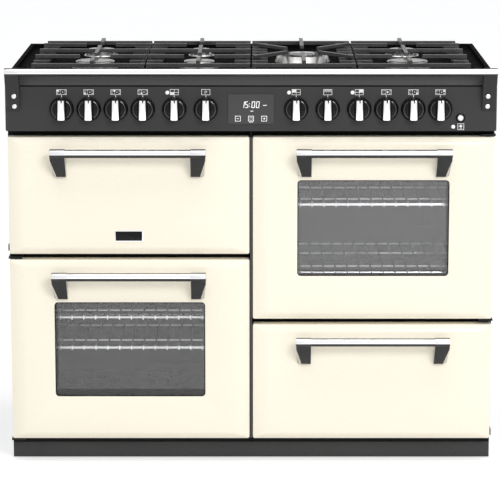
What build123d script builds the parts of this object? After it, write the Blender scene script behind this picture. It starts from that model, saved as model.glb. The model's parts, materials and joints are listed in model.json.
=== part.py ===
from build123d import *
from collections import namedtuple
from math import atan2, cos, degrees, hypot, pi, sin
import os

# A free-standing range cooker with seven gas burners and four oven spaces.
# Millimetres. +X is right, +Y is back, +Z is up, the doors face -Y.
# The origin is on the floor, under the middle of the outer box.

# Overall sizes
WIDTH = 1100.0
BODY_DEPTH = 600.0        # door face to back edge
HANDLE_REACH = 48.0       # door face to the front of a door handle
HOB_HEIGHT = 900.0        # floor to hob rim

# Sheet and general clearances
SHEET = 1.5
PLATE = 2.0
EASY_FIT = 0.3            # play between parts that are dropped together
RUNNING = 0.05            # radial play of a shaft that turns in a hole

# Vertical stack
FOOT_HEIGHT = 38.0        # floor to the base frame
DOOR_BOTTOM = 57.0
ROW_GAP = 13.0            # between an upper and a lower door
SMALL_DOOR_HEIGHT = 268.0
FASCIA_GAP = 14.5         # between the doors and the control panel
FASCIA_HEIGHT = 100.0
LIP_GAP = 2.0             # between the control panel and the hob lip
LIP_HEIGHT = 27.0         # hob lip, up to the rim

# Doors
SIDE_MARGIN = 2.75        # body edge to door edge
CENTRE_GAP = 7.5          # between the left and right doors
DOOR_RAISE = 11.0         # face of the raised panel in front of the edge flange
DOOR_FLANGE = 27.0
SIDE_BEVEL = 37.0
END_BEVEL = 18.0
DOOR_CORNER = 4.0
LINER_PLATE = 2.5
WINDOW_WIDTH = 342.0
WINDOW_HEIGHT = 220.0
WINDOW_DROP = 97.0        # door top to window top
WINDOW_CORNER = 8.0
GLASS = 4.0
GLASS_LAP = 12.0          # glass behind the edge of its opening
FRAME_GAP = 12.0          # door back to front frame, filled by the seal

# Hinges
AXIS_DEPTH = 20.0         # door face to hinge axis
DROP_AXIS_RISE = 14.0     # bottom edge of a drop-down door to its axis
SIDE_AXIS_INSET = 14.0    # outer edge of a side-hung door to its axis
PIN_RADIUS = 4.0
PIN_GRIP = 10.0           # length of pin inside a boss
PIN_PLAY = 1.5            # pin sleeve to the door skin around it
BOSS_HALF = 7.0
EAR = 2.0
HINGE_PLATE = 4.0
HINGE_PLATE_LENGTH = 31.0
HINGE_PLATE_GAP = 1.5     # hinge plate to door edge

# Door handles
HANDLE_LENGTH = 348.0
HANDLE_RADIUS = 9.4
HANDLE_CAP_RADIUS = 10.5
HANDLE_CAP_LENGTH = 34.5
HANDLE_DROP = 31.0        # door top to bar centre
HANDLE_FOOT = 57.0        # bar centre to the lowest point of the bracket
SOCKET_DEPTH = 24.0
SOCKET_PLAY = 0.1

# Carcass
PILLAR = 4.0              # strip in the gap between the left and right doors
PILLAR_SETBACK = 12.0
PLINTH_SETBACK = 49.0     # door face to plinth
PLINTH_FLOOR_GAP = 2.0
PLINTH_RETURN = 30.0
BACK_SETBACK = 30.0       # back edge to back panel
FOOT_PAD_RADIUS = 20.0
FOOT_STEM_RADIUS = 6.0
FOOT_INSET = 60.0
GAS_INLET_RADIUS = 10.48
GAS_INLET_LENGTH = 20.0
CABLE_BORE_RADIUS = 11.0

# Oven spaces
CAVITY_WIDTH = 440.0
CAVITY_DEPTH = 420.0
CAVITY_LOW = 43.0         # door bottom to cavity floor
CAVITY_HIGH = 42.0        # cavity ceiling to door top
RAIL_SECTION = 6.0
RAIL_REACH = 10.0
RACK_PLAY = 3.0           # rack edge to cavity wall
RACK_BAR = 5.0
RACK_WIRE = 3.0
RACK_WIRES = 15
RACK_SETBACK = 14.0       # front frame to rack
FAN_RADIUS = 75.0
FAN_SPACE = 42.0          # fan cover to the back wall
FAN_COVER_MARGIN = 30.0
ELEMENT_RADIUS = 3.5

# Controls
KNOB_END = 126.5          # panel end to the outermost knob
KNOB_INNER_PITCH = 70.5
KNOB_OUTER_PITCH = 60.5
KNOB_RISE = 50.0          # control panel bottom to knob centre
KNOB_RADIUS = 27.5
KNOB_BODY_RADIUS = 23.0
KNOB_REACH = 27.0         # control panel to the front of a knob
KNOB_GRIP_WIDTH = 13.0
KNOB_GRIP_LENGTH = 46.0
KNOB_GAP = 1.0
SPINDLE_RADIUS = 4.0
CLOCK_WIDTH = 102.0
CLOCK_HEIGHT = 67.0
BUTTON_RADIUS = 6.5
BUTTON_END = 81.0         # panel end to the button
BUTTON_RISE = 30.0
BUTTON_REACH = 6.0

# Hob
TRAY_MARGIN = 5.0         # body edge to tray edge
TRAY_SETBACK = 6.0
RIM = 10.0
TRAY_RECESS = 10.0
RAIL_RADIUS = 8.8
RAIL_CAP_RADIUS = 9.2
RAIL_CAP_LENGTH = 31.0
RAIL_INSET = 2.5          # side of the cooker to the end of the rail
RAIL_FORWARD = 30.0       # door face to the rail, towards the front
RAIL_RISE = 7.5           # rail centre above the hob rim
RAIL_FOOT = 53.0          # control panel top to the foot of a rail bracket
SUPPORT_BAR = 9.0
SUPPORT_FRONT = 76.0      # door face to the pan supports
SUPPORT_DEPTH = 460.0
SUPPORT_END = 51.0        # side of the cooker to the pan supports
OUTER_EXTRA = 19.0        # outer pan supports are wider than the inner ones
SUPPORT_PLAY = 4.0        # between neighbouring pan supports
FRAME_RISE = 14.0         # top of the pan support frames above the rim
FINGER_RISE = 21.0        # top of the pan fingers above the rim
FRAME_BAR_HEIGHT = 9.0
FINGER_HEIGHT = 8.0
FINS = 7
FIN = 7.0
FIN_LENGTH = 36.0
FIN_DROP = 4.0            # side bars below the tops of the fins
FINGER_GAP = 35.0         # burner centre to the finger tips
FINGER_CLEAR = 4.0
WOK_FINGER_TIP = 37.0
WOK_FINGER_ROOT = 0.28    # share of the support depth
RING_HEIGHT = 6.0
CROWN_TOP = 14.0
WOK_TOP = 18.0
CAP_OVERHANG = 3.0
CAP_HEIGHT = 5.0
SPIGOT_RADIUS = 18.0
SPIGOT_LENGTH = 30.0
PIPE_RADIUS = 4.0

# Positions that follow from the sizes above
HALF = WIDTH / 2
FACE_Y = (HANDLE_REACH - BODY_DEPTH) / 2
BACK_Y = FACE_Y + BODY_DEPTH
LIP_BOTTOM = HOB_HEIGHT - LIP_HEIGHT
FASCIA_TOP = LIP_BOTTOM - LIP_GAP
FASCIA_BOTTOM = FASCIA_TOP - FASCIA_HEIGHT
DOOR_TOP = FASCIA_BOTTOM - FASCIA_GAP
BIG_DOOR_HEIGHT = DOOR_TOP - DOOR_BOTTOM - ROW_GAP - SMALL_DOOR_HEIGHT
DOOR_DEPTH = DOOR_RAISE + DOOR_FLANGE
DOOR_BACK_Y = FACE_Y + DOOR_DEPTH
FRAME_Y = DOOR_BACK_Y + FRAME_GAP
FRAME_BACK_Y = FRAME_Y + PLATE
AXIS_Y = FACE_Y + AXIS_DEPTH
BACK_PANEL_Y = BACK_Y - BACK_SETBACK
CAVITY_BACK_Y = FRAME_BACK_Y + CAVITY_DEPTH
SIDE_IN = HALF - SHEET
FASCIA_Y = FACE_Y + 2
KNOB_Z = FASCIA_BOTTOM + KNOB_RISE
BUTTON_X = HALF - BUTTON_END
TRAY_FLOOR_Z = HOB_HEIGHT - TRAY_RECESS
SUPPORT_Y = FACE_Y + SUPPORT_FRONT
INNER_SECTION = (HALF - SUPPORT_END - OUTER_EXTRA) / 2
OUTER_SECTION = INNER_SECTION + OUTER_EXTRA

# The shelves are the heights of the shelf rails, as shares of the oven space
Door = namedtuple("Door", "name side low high drops window shelves")
DOORS = [
    Door("top_left", -1, DOOR_TOP - SMALL_DOOR_HEIGHT, DOOR_TOP, True, False, (0.3, 0.6)),
    Door("bottom_left", -1, DOOR_BOTTOM, DOOR_BOTTOM + BIG_DOOR_HEIGHT, False, True, (0.16, 0.465, 0.68)),
    Door("top_right", 1, DOOR_TOP - BIG_DOOR_HEIGHT, DOOR_TOP, False, True, (0.15, 0.39, 0.626)),
    Door("bottom_right", 1, DOOR_BOTTOM, DOOR_BOTTOM + SMALL_DOOR_HEIGHT, True, False, (0.3, 0.6)),
]


def block(x0, x1, y0, y1, z0, z1):
    """A box between two corners."""
    middle = Pos((x0 + x1) / 2, (y0 + y1) / 2, (z0 + z1) / 2)
    return middle * Box(abs(x1 - x0), abs(y1 - y0), abs(z1 - z0))


def rod_x(x0, x1, y, z, radius):
    return Pos((x0 + x1) / 2, y, z) * Rot(0, 90, 0) * Cylinder(radius, abs(x1 - x0))


def rod_y(y0, y1, x, z, radius):
    return Pos(x, (y0 + y1) / 2, z) * Rot(90, 0, 0) * Cylinder(radius, abs(y1 - y0))


def rod_z(z0, z1, x, y, radius):
    return Pos(x, y, (z0 + z1) / 2) * Cylinder(radius, abs(z1 - z0))


def facing(x, y, z):
    """A sketch plane that looks at the front of the cooker, with its Y up."""
    return Plane(origin=(x, y, z), x_dir=(1, 0, 0), z_dir=(0, -1, 0))


def rounded_block(x0, x1, y0, y1, z0, z1, radius):
    """A box whose four front-to-back edges are rounded."""
    plane = facing((x0 + x1) / 2, y0, (z0 + z1) / 2)
    return extrude(plane * RectangleRounded(x1 - x0, z1 - z0, radius), amount=y0 - y1)


def side_profile(x0, x1, points):
    """A plate from x0 to x1 whose outline is given as (y, z) points."""
    plane = Plane(origin=(x0, 0, 0), x_dir=(0, 1, 0), z_dir=(1, 0, 0))
    return extrude(plane * make_face(Polyline(*points, close=True)), amount=x1 - x0)


def door_edges(door):
    """The inner and outer X of a door, in rising order."""
    edges = [door.side * CENTRE_GAP / 2, door.side * (HALF - SIDE_MARGIN)]
    return min(edges), max(edges)


def door_middle(door):
    return sum(door_edges(door)) / 2


def raised_blank(x0, x1, z0, z1, face_y, back_y, corner):
    """A door outline with the raised panel in front, as a full solid."""
    edge_y = face_y + DOOR_RAISE
    middle = ((x0 + x1) / 2, (z0 + z1) / 2)
    outer = RectangleRounded(x1 - x0, z1 - z0, corner)
    inner = RectangleRounded(x1 - x0 - 2 * SIDE_BEVEL, z1 - z0 - 2 * END_BEVEL, 1)
    front = loft([facing(middle[0], edge_y, middle[1]) * outer, facing(middle[0], face_y, middle[1]) * inner])
    return rounded_block(x0, x1, edge_y, back_y, z0, z1, corner) + front


def window_edges(door):
    """X and Z edges of the window opening."""
    x = door_middle(door)
    top = door.high - WINDOW_DROP
    return x - WINDOW_WIDTH / 2, x + WINDOW_WIDTH / 2, top - WINDOW_HEIGHT, top


def door_pins(door, radius, start, reach):
    """The two pins of a door as rods, from start outside the door edge to reach inside it."""
    x0, x1 = door_edges(door)
    if door.drops:
        z = door.low + DROP_AXIS_RISE
        return [
            rod_x(x0 - start, x0 + reach, AXIS_Y, z, radius),
            rod_x(x1 + start, x1 - reach, AXIS_Y, z, radius),
        ]
    x = door.side * (HALF - SIDE_MARGIN - SIDE_AXIS_INSET)
    return [
        rod_z(door.low - start, door.low + reach, x, AXIS_Y, radius),
        rod_z(door.high + start, door.high - reach, x, AXIS_Y, radius),
    ]


def door_panel(door):
    """The enamelled outer skin of a door."""
    x0, x1 = door_edges(door)
    z0, z1 = door.low, door.high
    skin = raised_blank(x0, x1, z0, z1, FACE_Y, DOOR_BACK_Y, DOOR_CORNER)
    skin -= raised_blank(
        x0 + SHEET, x1 - SHEET, z0 + SHEET, z1 - SHEET, FACE_Y + SHEET, DOOR_BACK_Y + 1, DOOR_CORNER - SHEET
    )
    if door.window:
        wx0, wx1, wz0, wz1 = window_edges(door)
        skin -= rounded_block(wx0, wx1, FACE_Y - 1, FACE_Y + GLASS, wz0, wz1, WINDOW_CORNER)
    for hole in door_pins(door, PIN_RADIUS + PIN_PLAY, 1, 2 * SHEET):
        skin -= hole
    return [skin]


def door_liner(door):
    """The back plate of a door, with the four-sided bosses that the hinge pins turn in."""
    x0, x1 = door_edges(door)
    inset = SHEET + EASY_FIT
    plate_y = DOOR_BACK_Y - LINER_PLATE
    front_y = AXIS_Y - BOSS_HALF
    liner = rounded_block(
        x0 + inset, x1 - inset, plate_y, DOOR_BACK_Y, door.low + inset, door.high - inset, DOOR_CORNER - SHEET
    )
    length = PIN_GRIP + EASY_FIT
    if door.drops:
        z = door.low + DROP_AXIS_RISE
        for start, end in [(x0 + inset, x0 + inset + length), (x1 - inset, x1 - inset - length)]:
            liner += block(start, end, front_y, DOOR_BACK_Y, z - BOSS_HALF, z + BOSS_HALF)
    else:
        x = door.side * (HALF - SIDE_MARGIN - SIDE_AXIS_INSET)
        for start, end in [(door.low + inset, door.low + inset + length), (door.high - inset, door.high - inset - length)]:
            liner += block(x - BOSS_HALF, x + BOSS_HALF, front_y, DOOR_BACK_Y, start, end)
    if door.window:
        wx0, wx1, wz0, wz1 = window_edges(door)
        liner -= rounded_block(wx0, wx1, plate_y - 1, DOOR_BACK_Y + 1, wz0, wz1, WINDOW_CORNER)
    for hole in door_pins(door, PIN_RADIUS + RUNNING, 0, inset + 2 * length):
        liner -= hole
    return [liner]


def door_glass(door):
    """The outer pane behind the door skin and the inner pane in front of the liner."""
    wx0, wx1, wz0, wz1 = window_edges(door)
    outer_y = FACE_Y + SHEET
    inner_y = DOOR_BACK_Y - LINER_PLATE - GLASS
    edges = (wx0 - GLASS_LAP, wx1 + GLASS_LAP)
    heights = (wz0 - GLASS_LAP, wz1 + GLASS_LAP)
    return [
        rounded_block(*edges, outer_y, outer_y + GLASS, *heights, WINDOW_CORNER),
        rounded_block(*edges, inner_y, inner_y + GLASS, *heights, WINDOW_CORNER),
    ]


def bar_bracket(x_end, direction, length, cap_radius, bar_radius, bar_y, bar_z, wall_y, foot_z, wall_top_z):
    """A bracket at one end of a bar: a round cap on a wedge leg, with a blind socket for the bar."""
    x_in = x_end + direction * length
    cap = rod_x(x_end, x_in, bar_y, bar_z, cap_radius)
    lean = 0.62 * cap_radius
    outline = [
        (bar_y - lean, bar_z - 0.75 * cap_radius),
        (wall_y, foot_z),
        (wall_y, wall_top_z),
        (bar_y + lean, bar_z + 0.7 * cap_radius),
    ]
    leg = side_profile(min(x_end, x_in), max(x_end, x_in), outline)
    cut = 0.3 * length
    shave = Plane(origin=(x_end, wall_y + 1, foot_z), x_dir=(1, 0, 0), z_dir=(0, -1, 0)) * make_face(
        Polyline((0, 0), (direction * cut, 0), (0, 0.6 * (bar_z - foot_z)), close=True)
    )
    leg -= extrude(shave, amount=wall_y - bar_y + 2 * cap_radius)
    socket = rod_x(x_in - direction * SOCKET_DEPTH, x_in, bar_y, bar_z, bar_radius + SOCKET_PLAY)
    return cap + leg - socket


def door_handle(door):
    """A bar held by two brackets on the door face."""
    x = door_middle(door)
    bar_y = FACE_Y - HANDLE_REACH + HANDLE_CAP_RADIUS
    bar_z = door.high - HANDLE_DROP
    ends = HANDLE_LENGTH / 2
    bar_half = ends - HANDLE_CAP_LENGTH + SOCKET_DEPTH - SOCKET_PLAY
    pieces = [rod_x(x - bar_half, x + bar_half, bar_y, bar_z, HANDLE_RADIUS)]
    for direction in (1, -1):
        pieces.append(bar_bracket(
            x - direction * ends, direction, HANDLE_CAP_LENGTH, HANDLE_CAP_RADIUS, HANDLE_RADIUS,
            bar_y, bar_z, FACE_Y, bar_z - HANDLE_FOOT, bar_z - 0.2 * HANDLE_FOOT,
        ))
    return pieces


def door_hinges():
    """Hinge plates, ears and pins, fixed to the front frame."""
    pieces = []
    for door in DOORS:
        reach = SHEET + EASY_FIT + PIN_GRIP
        if door.drops:
            x0, x1 = door_edges(door)
            z = door.low + DROP_AXIS_RISE
            outer = door.side * HALF
            ear_in = door.side * (HALF - EAR)
            ear = block(ear_in, outer, AXIS_Y - BOSS_HALF, FRAME_Y, z - BOSS_HALF, z + BOSS_HALF)
            edge = x0 if door.side < 0 else x1
            pieces.append(ear + rod_x(ear_in, edge - door.side * reach, AXIS_Y, z, PIN_RADIUS))
            inner = x1 if door.side < 0 else x0
            pieces.append(rod_x(door.side * PILLAR / 2, inner + door.side * reach, AXIS_Y, z, PIN_RADIUS))
            continue
        x = door.side * (HALF - SIDE_MARGIN - SIDE_AXIS_INSET)
        far = door.side * (HALF - HINGE_PLATE_LENGTH)
        near = door.side * HALF
        for edge, out in [(door.low, -1), (door.high, 1)]:
            face_z = edge + out * HINGE_PLATE_GAP
            plate = block(near, far, AXIS_Y - BOSS_HALF, FRAME_Y, face_z, face_z + out * HINGE_PLATE)
            pieces.append(plate + rod_z(face_z, edge - out * reach, x, AXIS_Y, PIN_RADIUS))
    return pieces


def cavity_edges(door):
    """X and Z edges of an oven space."""
    x = door_middle(door)
    return x - CAVITY_WIDTH / 2, x + CAVITY_WIDTH / 2, door.low + CAVITY_LOW, door.high - CAVITY_HIGH


def has_fan(door):
    return door.window


def cavity(door):
    """The enamelled box of one oven space, open at the front."""
    x0, x1, z0, z1 = cavity_edges(door)
    shell = block(x0 - SHEET, x1 + SHEET, FRAME_BACK_Y, CAVITY_BACK_Y + SHEET, z0 - SHEET, z1 + SHEET)
    shell -= block(x0, x1, FRAME_BACK_Y - 1, CAVITY_BACK_Y, z0, z1)
    if has_fan(door):
        shell -= rod_y(CAVITY_BACK_Y - 1, CAVITY_BACK_Y + 2 * SHEET, door_middle(door), (z0 + z1) / 2, 2 * PIN_RADIUS)
    return [shell]


def front_frame():
    """The black frame behind the doors, with the strip between the left and right doors."""
    frame = block(-HALF, HALF, FRAME_Y, FRAME_BACK_Y, FOOT_HEIGHT, FASCIA_BOTTOM)
    for door in DOORS:
        x0, x1, z0, z1 = cavity_edges(door)
        frame -= block(x0, x1, FRAME_Y - 1, FRAME_BACK_Y + 1, z0, z1)
    frame += block(-PILLAR / 2, PILLAR / 2, FACE_Y + PILLAR_SETBACK, FRAME_Y, DOOR_BOTTOM, FASCIA_BOTTOM)
    return [frame]


def door_seals():
    """A square-section ring around each oven opening, on the front frame."""
    rings = []
    section = FRAME_GAP - PLATE
    for door in DOORS:
        x0, x1, z0, z1 = cavity_edges(door)
        ring = block(x0 - section, x1 + section, FRAME_Y - section, FRAME_Y, z0 - section, z1 + section)
        ring -= block(x0, x1, FRAME_Y - section - 1, FRAME_Y + 1, z0, z1)
        rings.append(ring)
    return rings


def base_frame():
    """The shallow tray that the feet screw into."""
    y0, y1 = FRAME_BACK_Y, BACK_PANEL_Y
    tray = block(-SIDE_IN, SIDE_IN, y0, y1, FOOT_HEIGHT, DOOR_BOTTOM)
    tray -= block(-SIDE_IN + PLATE, SIDE_IN - PLATE, y0 + PLATE, y1 - PLATE, FOOT_HEIGHT + PLATE, DOOR_BOTTOM + 1)
    return [tray]


def side_panels():
    panel = block(SIDE_IN, HALF, FRAME_BACK_Y, BACK_Y, FOOT_HEIGHT, LIP_BOTTOM)
    return [mirror(panel, about=Plane.YZ), panel]


def inlet_x():
    return HALF - 70


def cable_x():
    return -HALF + 90


def cable_z():
    return FOOT_HEIGHT + 0.1 * HOB_HEIGHT


def back_panel():
    """The rear sheet, with vent slots, the gas pipe hole and the collar for the mains cable."""
    y0, y1 = BACK_PANEL_Y, BACK_PANEL_Y + SHEET
    sheet = block(-SIDE_IN, SIDE_IN, y0, y1, FOOT_HEIGHT, LIP_BOTTOM)
    sheet -= rod_y(y0 - 1, y1 + 1, inlet_x(), KNOB_Z, GAS_INLET_RADIUS + PIN_PLAY)
    for row in range(4):
        z = FASCIA_BOTTOM - 20 * row
        for column in range(-4, 5):
            x = column * 0.09 * WIDTH
            sheet -= block(x - 30, x + 30, y0 - 1, y1 + 1, z - 4, z + 4)
    collar_end = y1 + 0.5 * BACK_SETBACK
    sheet += rod_y(y0, collar_end, cable_x(), cable_z(), CABLE_BORE_RADIUS + 4)
    sheet -= rod_y(y0 - 1, collar_end + 1, cable_x(), cable_z(), CABLE_BORE_RADIUS)
    return [sheet]


def plinth():
    """The kick plate under the doors."""
    y = FACE_Y + PLINTH_SETBACK
    plate = block(-HALF, HALF, y, y + PLATE, PLINTH_FLOOR_GAP, FOOT_HEIGHT)
    plate += block(-SIDE_IN, SIDE_IN, y, y + PLINTH_RETURN, FOOT_HEIGHT - PLATE, FOOT_HEIGHT)
    return [plate]


def levelling_feet():
    """Four adjustable feet."""
    feet = []
    x = HALF - FOOT_INSET
    for y in (FRAME_BACK_Y + FOOT_INSET, BACK_PANEL_Y - FOOT_INSET):
        for side in (-1, 1):
            pad = rod_z(0, 8, side * x, y, FOOT_PAD_RADIUS)
            feet.append(pad + rod_z(8, FOOT_HEIGHT, side * x, y, FOOT_STEM_RADIUS))
    return feet


def shelf_heights(door):
    """Top faces of the shelf rails in one oven space."""
    z0, z1 = cavity_edges(door)[2:]
    return [z0 + share * (z1 - z0) for share in door.shelves]


def rack_heights(door):
    """The shelf rails that carry a rack."""
    heights = shelf_heights(door)
    if door.name == "bottom_left":
        return heights[1:]
    if door.name == "top_right":
        return [heights[0], heights[2]]
    return heights[:1]


def shelf_runners():
    """The ladder rails on both side walls of each oven space."""
    pieces = []
    post = RACK_PLAY - EASY_FIT
    y0 = FRAME_BACK_Y + RACK_SETBACK
    y1 = CAVITY_BACK_Y - FAN_SPACE - RACK_SETBACK
    for door in DOORS:
        x0, x1, z0, z1 = cavity_edges(door)
        heights = shelf_heights(door)
        for wall, inward in [(x0, 1), (x1, -1)]:
            top = heights[-1] + 2 * RAIL_SECTION
            ladder = block(wall, wall + inward * post, y0, y0 + RAIL_SECTION, z0, top)
            ladder += block(wall, wall + inward * post, y1 - RAIL_SECTION, y1, z0, top)
            for z in heights:
                ladder += block(wall, wall + inward * RAIL_REACH, y0, y1, z - RAIL_SECTION, z)
            pieces.append(ladder)
    return pieces


def oven_racks():
    """Wire racks resting on the shelf rails."""
    racks = []
    y0 = FRAME_BACK_Y + RACK_SETBACK
    y1 = CAVITY_BACK_Y - FAN_SPACE - RACK_SETBACK
    for door in DOORS:
        cavity_x0, cavity_x1 = cavity_edges(door)[:2]
        x0, x1 = cavity_x0 + RACK_PLAY, cavity_x1 - RACK_PLAY
        pitch = (x1 - x0 - RACK_BAR) / (RACK_WIRES + 1)
        for z in rack_heights(door):
            rack = block(x0, x1, y0, y1, z, z + RACK_BAR)
            rack -= block(x0 + RACK_BAR, x1 - RACK_BAR, y0 + RACK_BAR, y1 - RACK_BAR, z - 1, z + RACK_BAR + 1)
            for wire in range(1, RACK_WIRES + 1):
                x = x0 + RACK_BAR / 2 + wire * pitch
                rack += block(x - RACK_WIRE / 2, x + RACK_WIRE / 2, y0, y1, z, z + RACK_BAR)
            racks.append(rack)
    return racks


def fan_middle(door):
    x0, x1, z0, z1 = cavity_edges(door)
    return (x0 + x1) / 2, (z0 + z1) / 2


def fan_covers():
    """Perforated covers over the fans, against the back wall of the two fan ovens."""
    covers = []
    for door in filter(has_fan, DOORS):
        x0, x1, z0, z1 = cavity_edges(door)
        x, z = fan_middle(door)
        m = FAN_COVER_MARGIN
        y0 = CAVITY_BACK_Y - FAN_SPACE
        cover = rounded_block(x0 + m, x1 - m, y0, CAVITY_BACK_Y, z0 + m, z1 - m, 12)
        cover -= rounded_block(
            x0 + m + SHEET, x1 - m - SHEET, y0 + SHEET, CAVITY_BACK_Y + 1, z0 + m + SHEET, z1 - m - SHEET, 12 - SHEET
        )
        for ring, count in [(0.25, 6), (0.5, 12), (0.75, 18)]:
            for step in range(count):
                angle = 2 * pi * step / count
                r = ring * FAN_RADIUS
                cover -= rod_y(y0 - 1, y0 + SHEET + 1, x + r * cos(angle), z + r * sin(angle), 5)
        for side in (-1, 1):
            for slot in range(5):
                sx = x + side * (CAVITY_WIDTH / 2 - m - 20 - 10 * slot)
                cover -= block(sx - 2, sx + 2, y0 - 1, y0 + SHEET + 1, z - FAN_RADIUS, z + FAN_RADIUS)
        covers.append(cover)
    return covers


def fan(door):
    """An oven fan wheel: a hub, a disc and straight blades."""
    x, z = fan_middle(door)
    y1 = CAVITY_BACK_Y - 6
    y0 = y1 - 24
    wheel = rod_y(y1 - 2, y1, x, z, FAN_RADIUS) + rod_y(y0, y1, x, z, 12)
    blade = block(20, FAN_RADIUS, y0, y1 - 1, -1, 1)
    for step in range(10):
        wheel += Pos(x, 0, z) * Rot(0, 36 * step, 0) * blade
    return [wheel - rod_y(y0 + 4, y1 + 1, x, z, SPINDLE_RADIUS + RUNNING)]


def fan_motors():
    """Fan motors behind the oven spaces, each with the shaft that the fan turns on."""
    motors = []
    for door in filter(has_fan, DOORS):
        x, z = fan_middle(door)
        y0 = CAVITY_BACK_Y + SHEET
        motor = rod_y(y0, y0 + 0.6 * (BACK_PANEL_Y - y0), x, z, 38)
        motors.append(motor + rod_y(CAVITY_BACK_Y - 25, y0, x, z, SPINDLE_RADIUS))
    return motors


def ring_element(door):
    """A heating ring around an oven fan, on two posts from the back wall."""
    x, z = fan_middle(door)
    y = CAVITY_BACK_Y - FAN_SPACE / 2
    radius = FAN_RADIUS + 15
    ring = Pos(x, y, z) * Rot(90, 0, 0) * Torus(radius, ELEMENT_RADIUS)
    for side in (-1, 1):
        ring += rod_y(y, CAVITY_BACK_Y, x + side * radius, z, ELEMENT_RADIUS)
    return ring


def flat_element(door, z, y_back):
    """A flat heating element made of long loops, with two tails."""
    x = door_middle(door)
    y0 = FRAME_BACK_Y + 60
    y1 = CAVITY_BACK_Y - 60
    pitch = CAVITY_WIDTH / 8
    element = rod_y(y0, y_back, x - 2.5 * pitch, z, ELEMENT_RADIUS)
    element += rod_y(y0, y_back, x + 2.5 * pitch, z, ELEMENT_RADIUS)
    for step in range(-2, 2):
        element += rod_y(y0, y1, x + (step + 0.5) * pitch, z, ELEMENT_RADIUS)
    for step in range(-3, 2):
        y = y1 if step % 2 == 0 else y0
        start = x + (step + 0.5) * pitch
        element += rod_x(start - ELEMENT_RADIUS, start + pitch + ELEMENT_RADIUS, y, z, ELEMENT_RADIUS)
    return element


def heating_elements():
    pieces = []
    for door in DOORS:
        x0, x1, z0, z1 = cavity_edges(door)
        if has_fan(door):
            pieces.append(ring_element(door))
        elif door.name == "top_left":
            pieces.append(flat_element(door, z1 - 18, CAVITY_BACK_Y))
        else:
            pieces.append(flat_element(door, z0 - SHEET - ELEMENT_RADIUS, CAVITY_BACK_Y))
    return pieces


def knob_xs():
    """Middle of each knob, from left to right."""
    right = [HALF - KNOB_END - KNOB_OUTER_PITCH * step for step in (3, 2, 1, 0)]
    right = [right[0] - KNOB_INNER_PITCH * step for step in (2, 1)] + right
    return [-x for x in reversed(right)] + right


KNOBS = dict(zip([
    "gas_1", "gas_2", "gas_3", "gas_4", "oven_bottom_left", "slow_cook",
    "oven_top_left", "grill", "oven_top_right", "gas_5", "gas_6", "gas_7",
], knob_xs()))


def is_gas(name):
    return name.startswith("gas")


def control_panel():
    """The fascia: a shallow box, open at the back, with holes for the controls."""
    back = FRAME_Y
    panel = rounded_block(-HALF, HALF, FASCIA_Y, back, FASCIA_BOTTOM, FASCIA_TOP, 3)
    panel -= block(
        -HALF + PLATE, HALF - PLATE, FASCIA_Y + PLATE, back + 1, FASCIA_BOTTOM + PLATE, FASCIA_TOP - PLATE
    )
    for x in KNOBS.values():
        panel -= rod_y(FASCIA_Y - 1, FASCIA_Y + PLATE + 1, x, KNOB_Z, SPINDLE_RADIUS + 3)
    w, h = CLOCK_WIDTH / 2 - 4 + EASY_FIT, CLOCK_HEIGHT / 2 - 4 + EASY_FIT
    clock_z = FASCIA_BOTTOM + FASCIA_HEIGHT / 2
    panel -= block(-w, w, FASCIA_Y - 1, FASCIA_Y + PLATE + 1, clock_z - h, clock_z + h)
    z = FASCIA_BOTTOM + BUTTON_RISE
    panel += rod_y(FASCIA_Y - 2, FASCIA_Y + 14, BUTTON_X, z, BUTTON_RADIUS + 3.5)
    panel -= rod_y(FASCIA_Y - 3, FASCIA_Y + 15, BUTTON_X, z, BUTTON_RADIUS + RUNNING)
    return [panel]


def clock_module():
    """The clock and touch panel, with its housing behind the control panel."""
    z = FASCIA_BOTTOM + FASCIA_HEIGHT / 2
    w, h = CLOCK_WIDTH / 2, CLOCK_HEIGHT / 2
    front = rounded_block(-w, w, FASCIA_Y - 2, FASCIA_Y, z - h, z + h, 3)
    return [front + block(-w + 4, w - 4, FASCIA_Y, FASCIA_Y + 32, z - h + 4, z + h - 4)]


def light_button():
    """The push button for the oven light and ignition."""
    z = FASCIA_BOTTOM + BUTTON_RISE
    return [rod_y(FASCIA_Y - BUTTON_REACH, FASCIA_Y + 14, BUTTON_X, z, BUTTON_RADIUS)]


def knob(x):
    """A control knob: a skirt, a round body and a grip bar, bored for its spindle."""
    y = FASCIA_Y - KNOB_GAP
    front = FASCIA_Y - KNOB_REACH
    skirt_y = y - 5
    body_y = skirt_y - 7
    shape = rod_y(y, skirt_y, x, KNOB_Z, KNOB_RADIUS) + rod_y(skirt_y, body_y, x, KNOB_Z, KNOB_BODY_RADIUS)
    w, h = KNOB_GRIP_WIDTH / 2, KNOB_GRIP_LENGTH / 2
    shape += rounded_block(x - w, x + w, front, skirt_y, KNOB_Z - h, KNOB_Z + h, 4)
    return [shape - rod_y(y + 1, y - 17, x, KNOB_Z, SPINDLE_RADIUS + RUNNING)]


def spindle(x, y_start):
    return rod_y(y_start, FASCIA_Y - KNOB_GAP - 16, x, KNOB_Z, SPINDLE_RADIUS)


def manifold_y():
    """Front and back of the gas rail."""
    return FRAME_BACK_Y + 12, FRAME_BACK_Y + 32


def gas_taps():
    """A tap on the gas rail behind each burner knob."""
    y0, y1 = FASCIA_Y + 20, manifold_y()[0]
    pieces = []
    for name, x in KNOBS.items():
        if is_gas(name):
            pieces.append(block(x - 15, x + 15, y0, y1, KNOB_Z - 16, KNOB_Z + 16) + spindle(x, y0))
    return pieces


def oven_switches():
    """A rotary switch on the back of the control panel behind each oven knob."""
    y0 = FASCIA_Y + PLATE
    pieces = []
    for name, x in KNOBS.items():
        if not is_gas(name):
            pieces.append(block(x - 20, x + 20, y0, y0 + 40, KNOB_Z - 20, KNOB_Z + 20) + spindle(x, y0))
    return pieces


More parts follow.
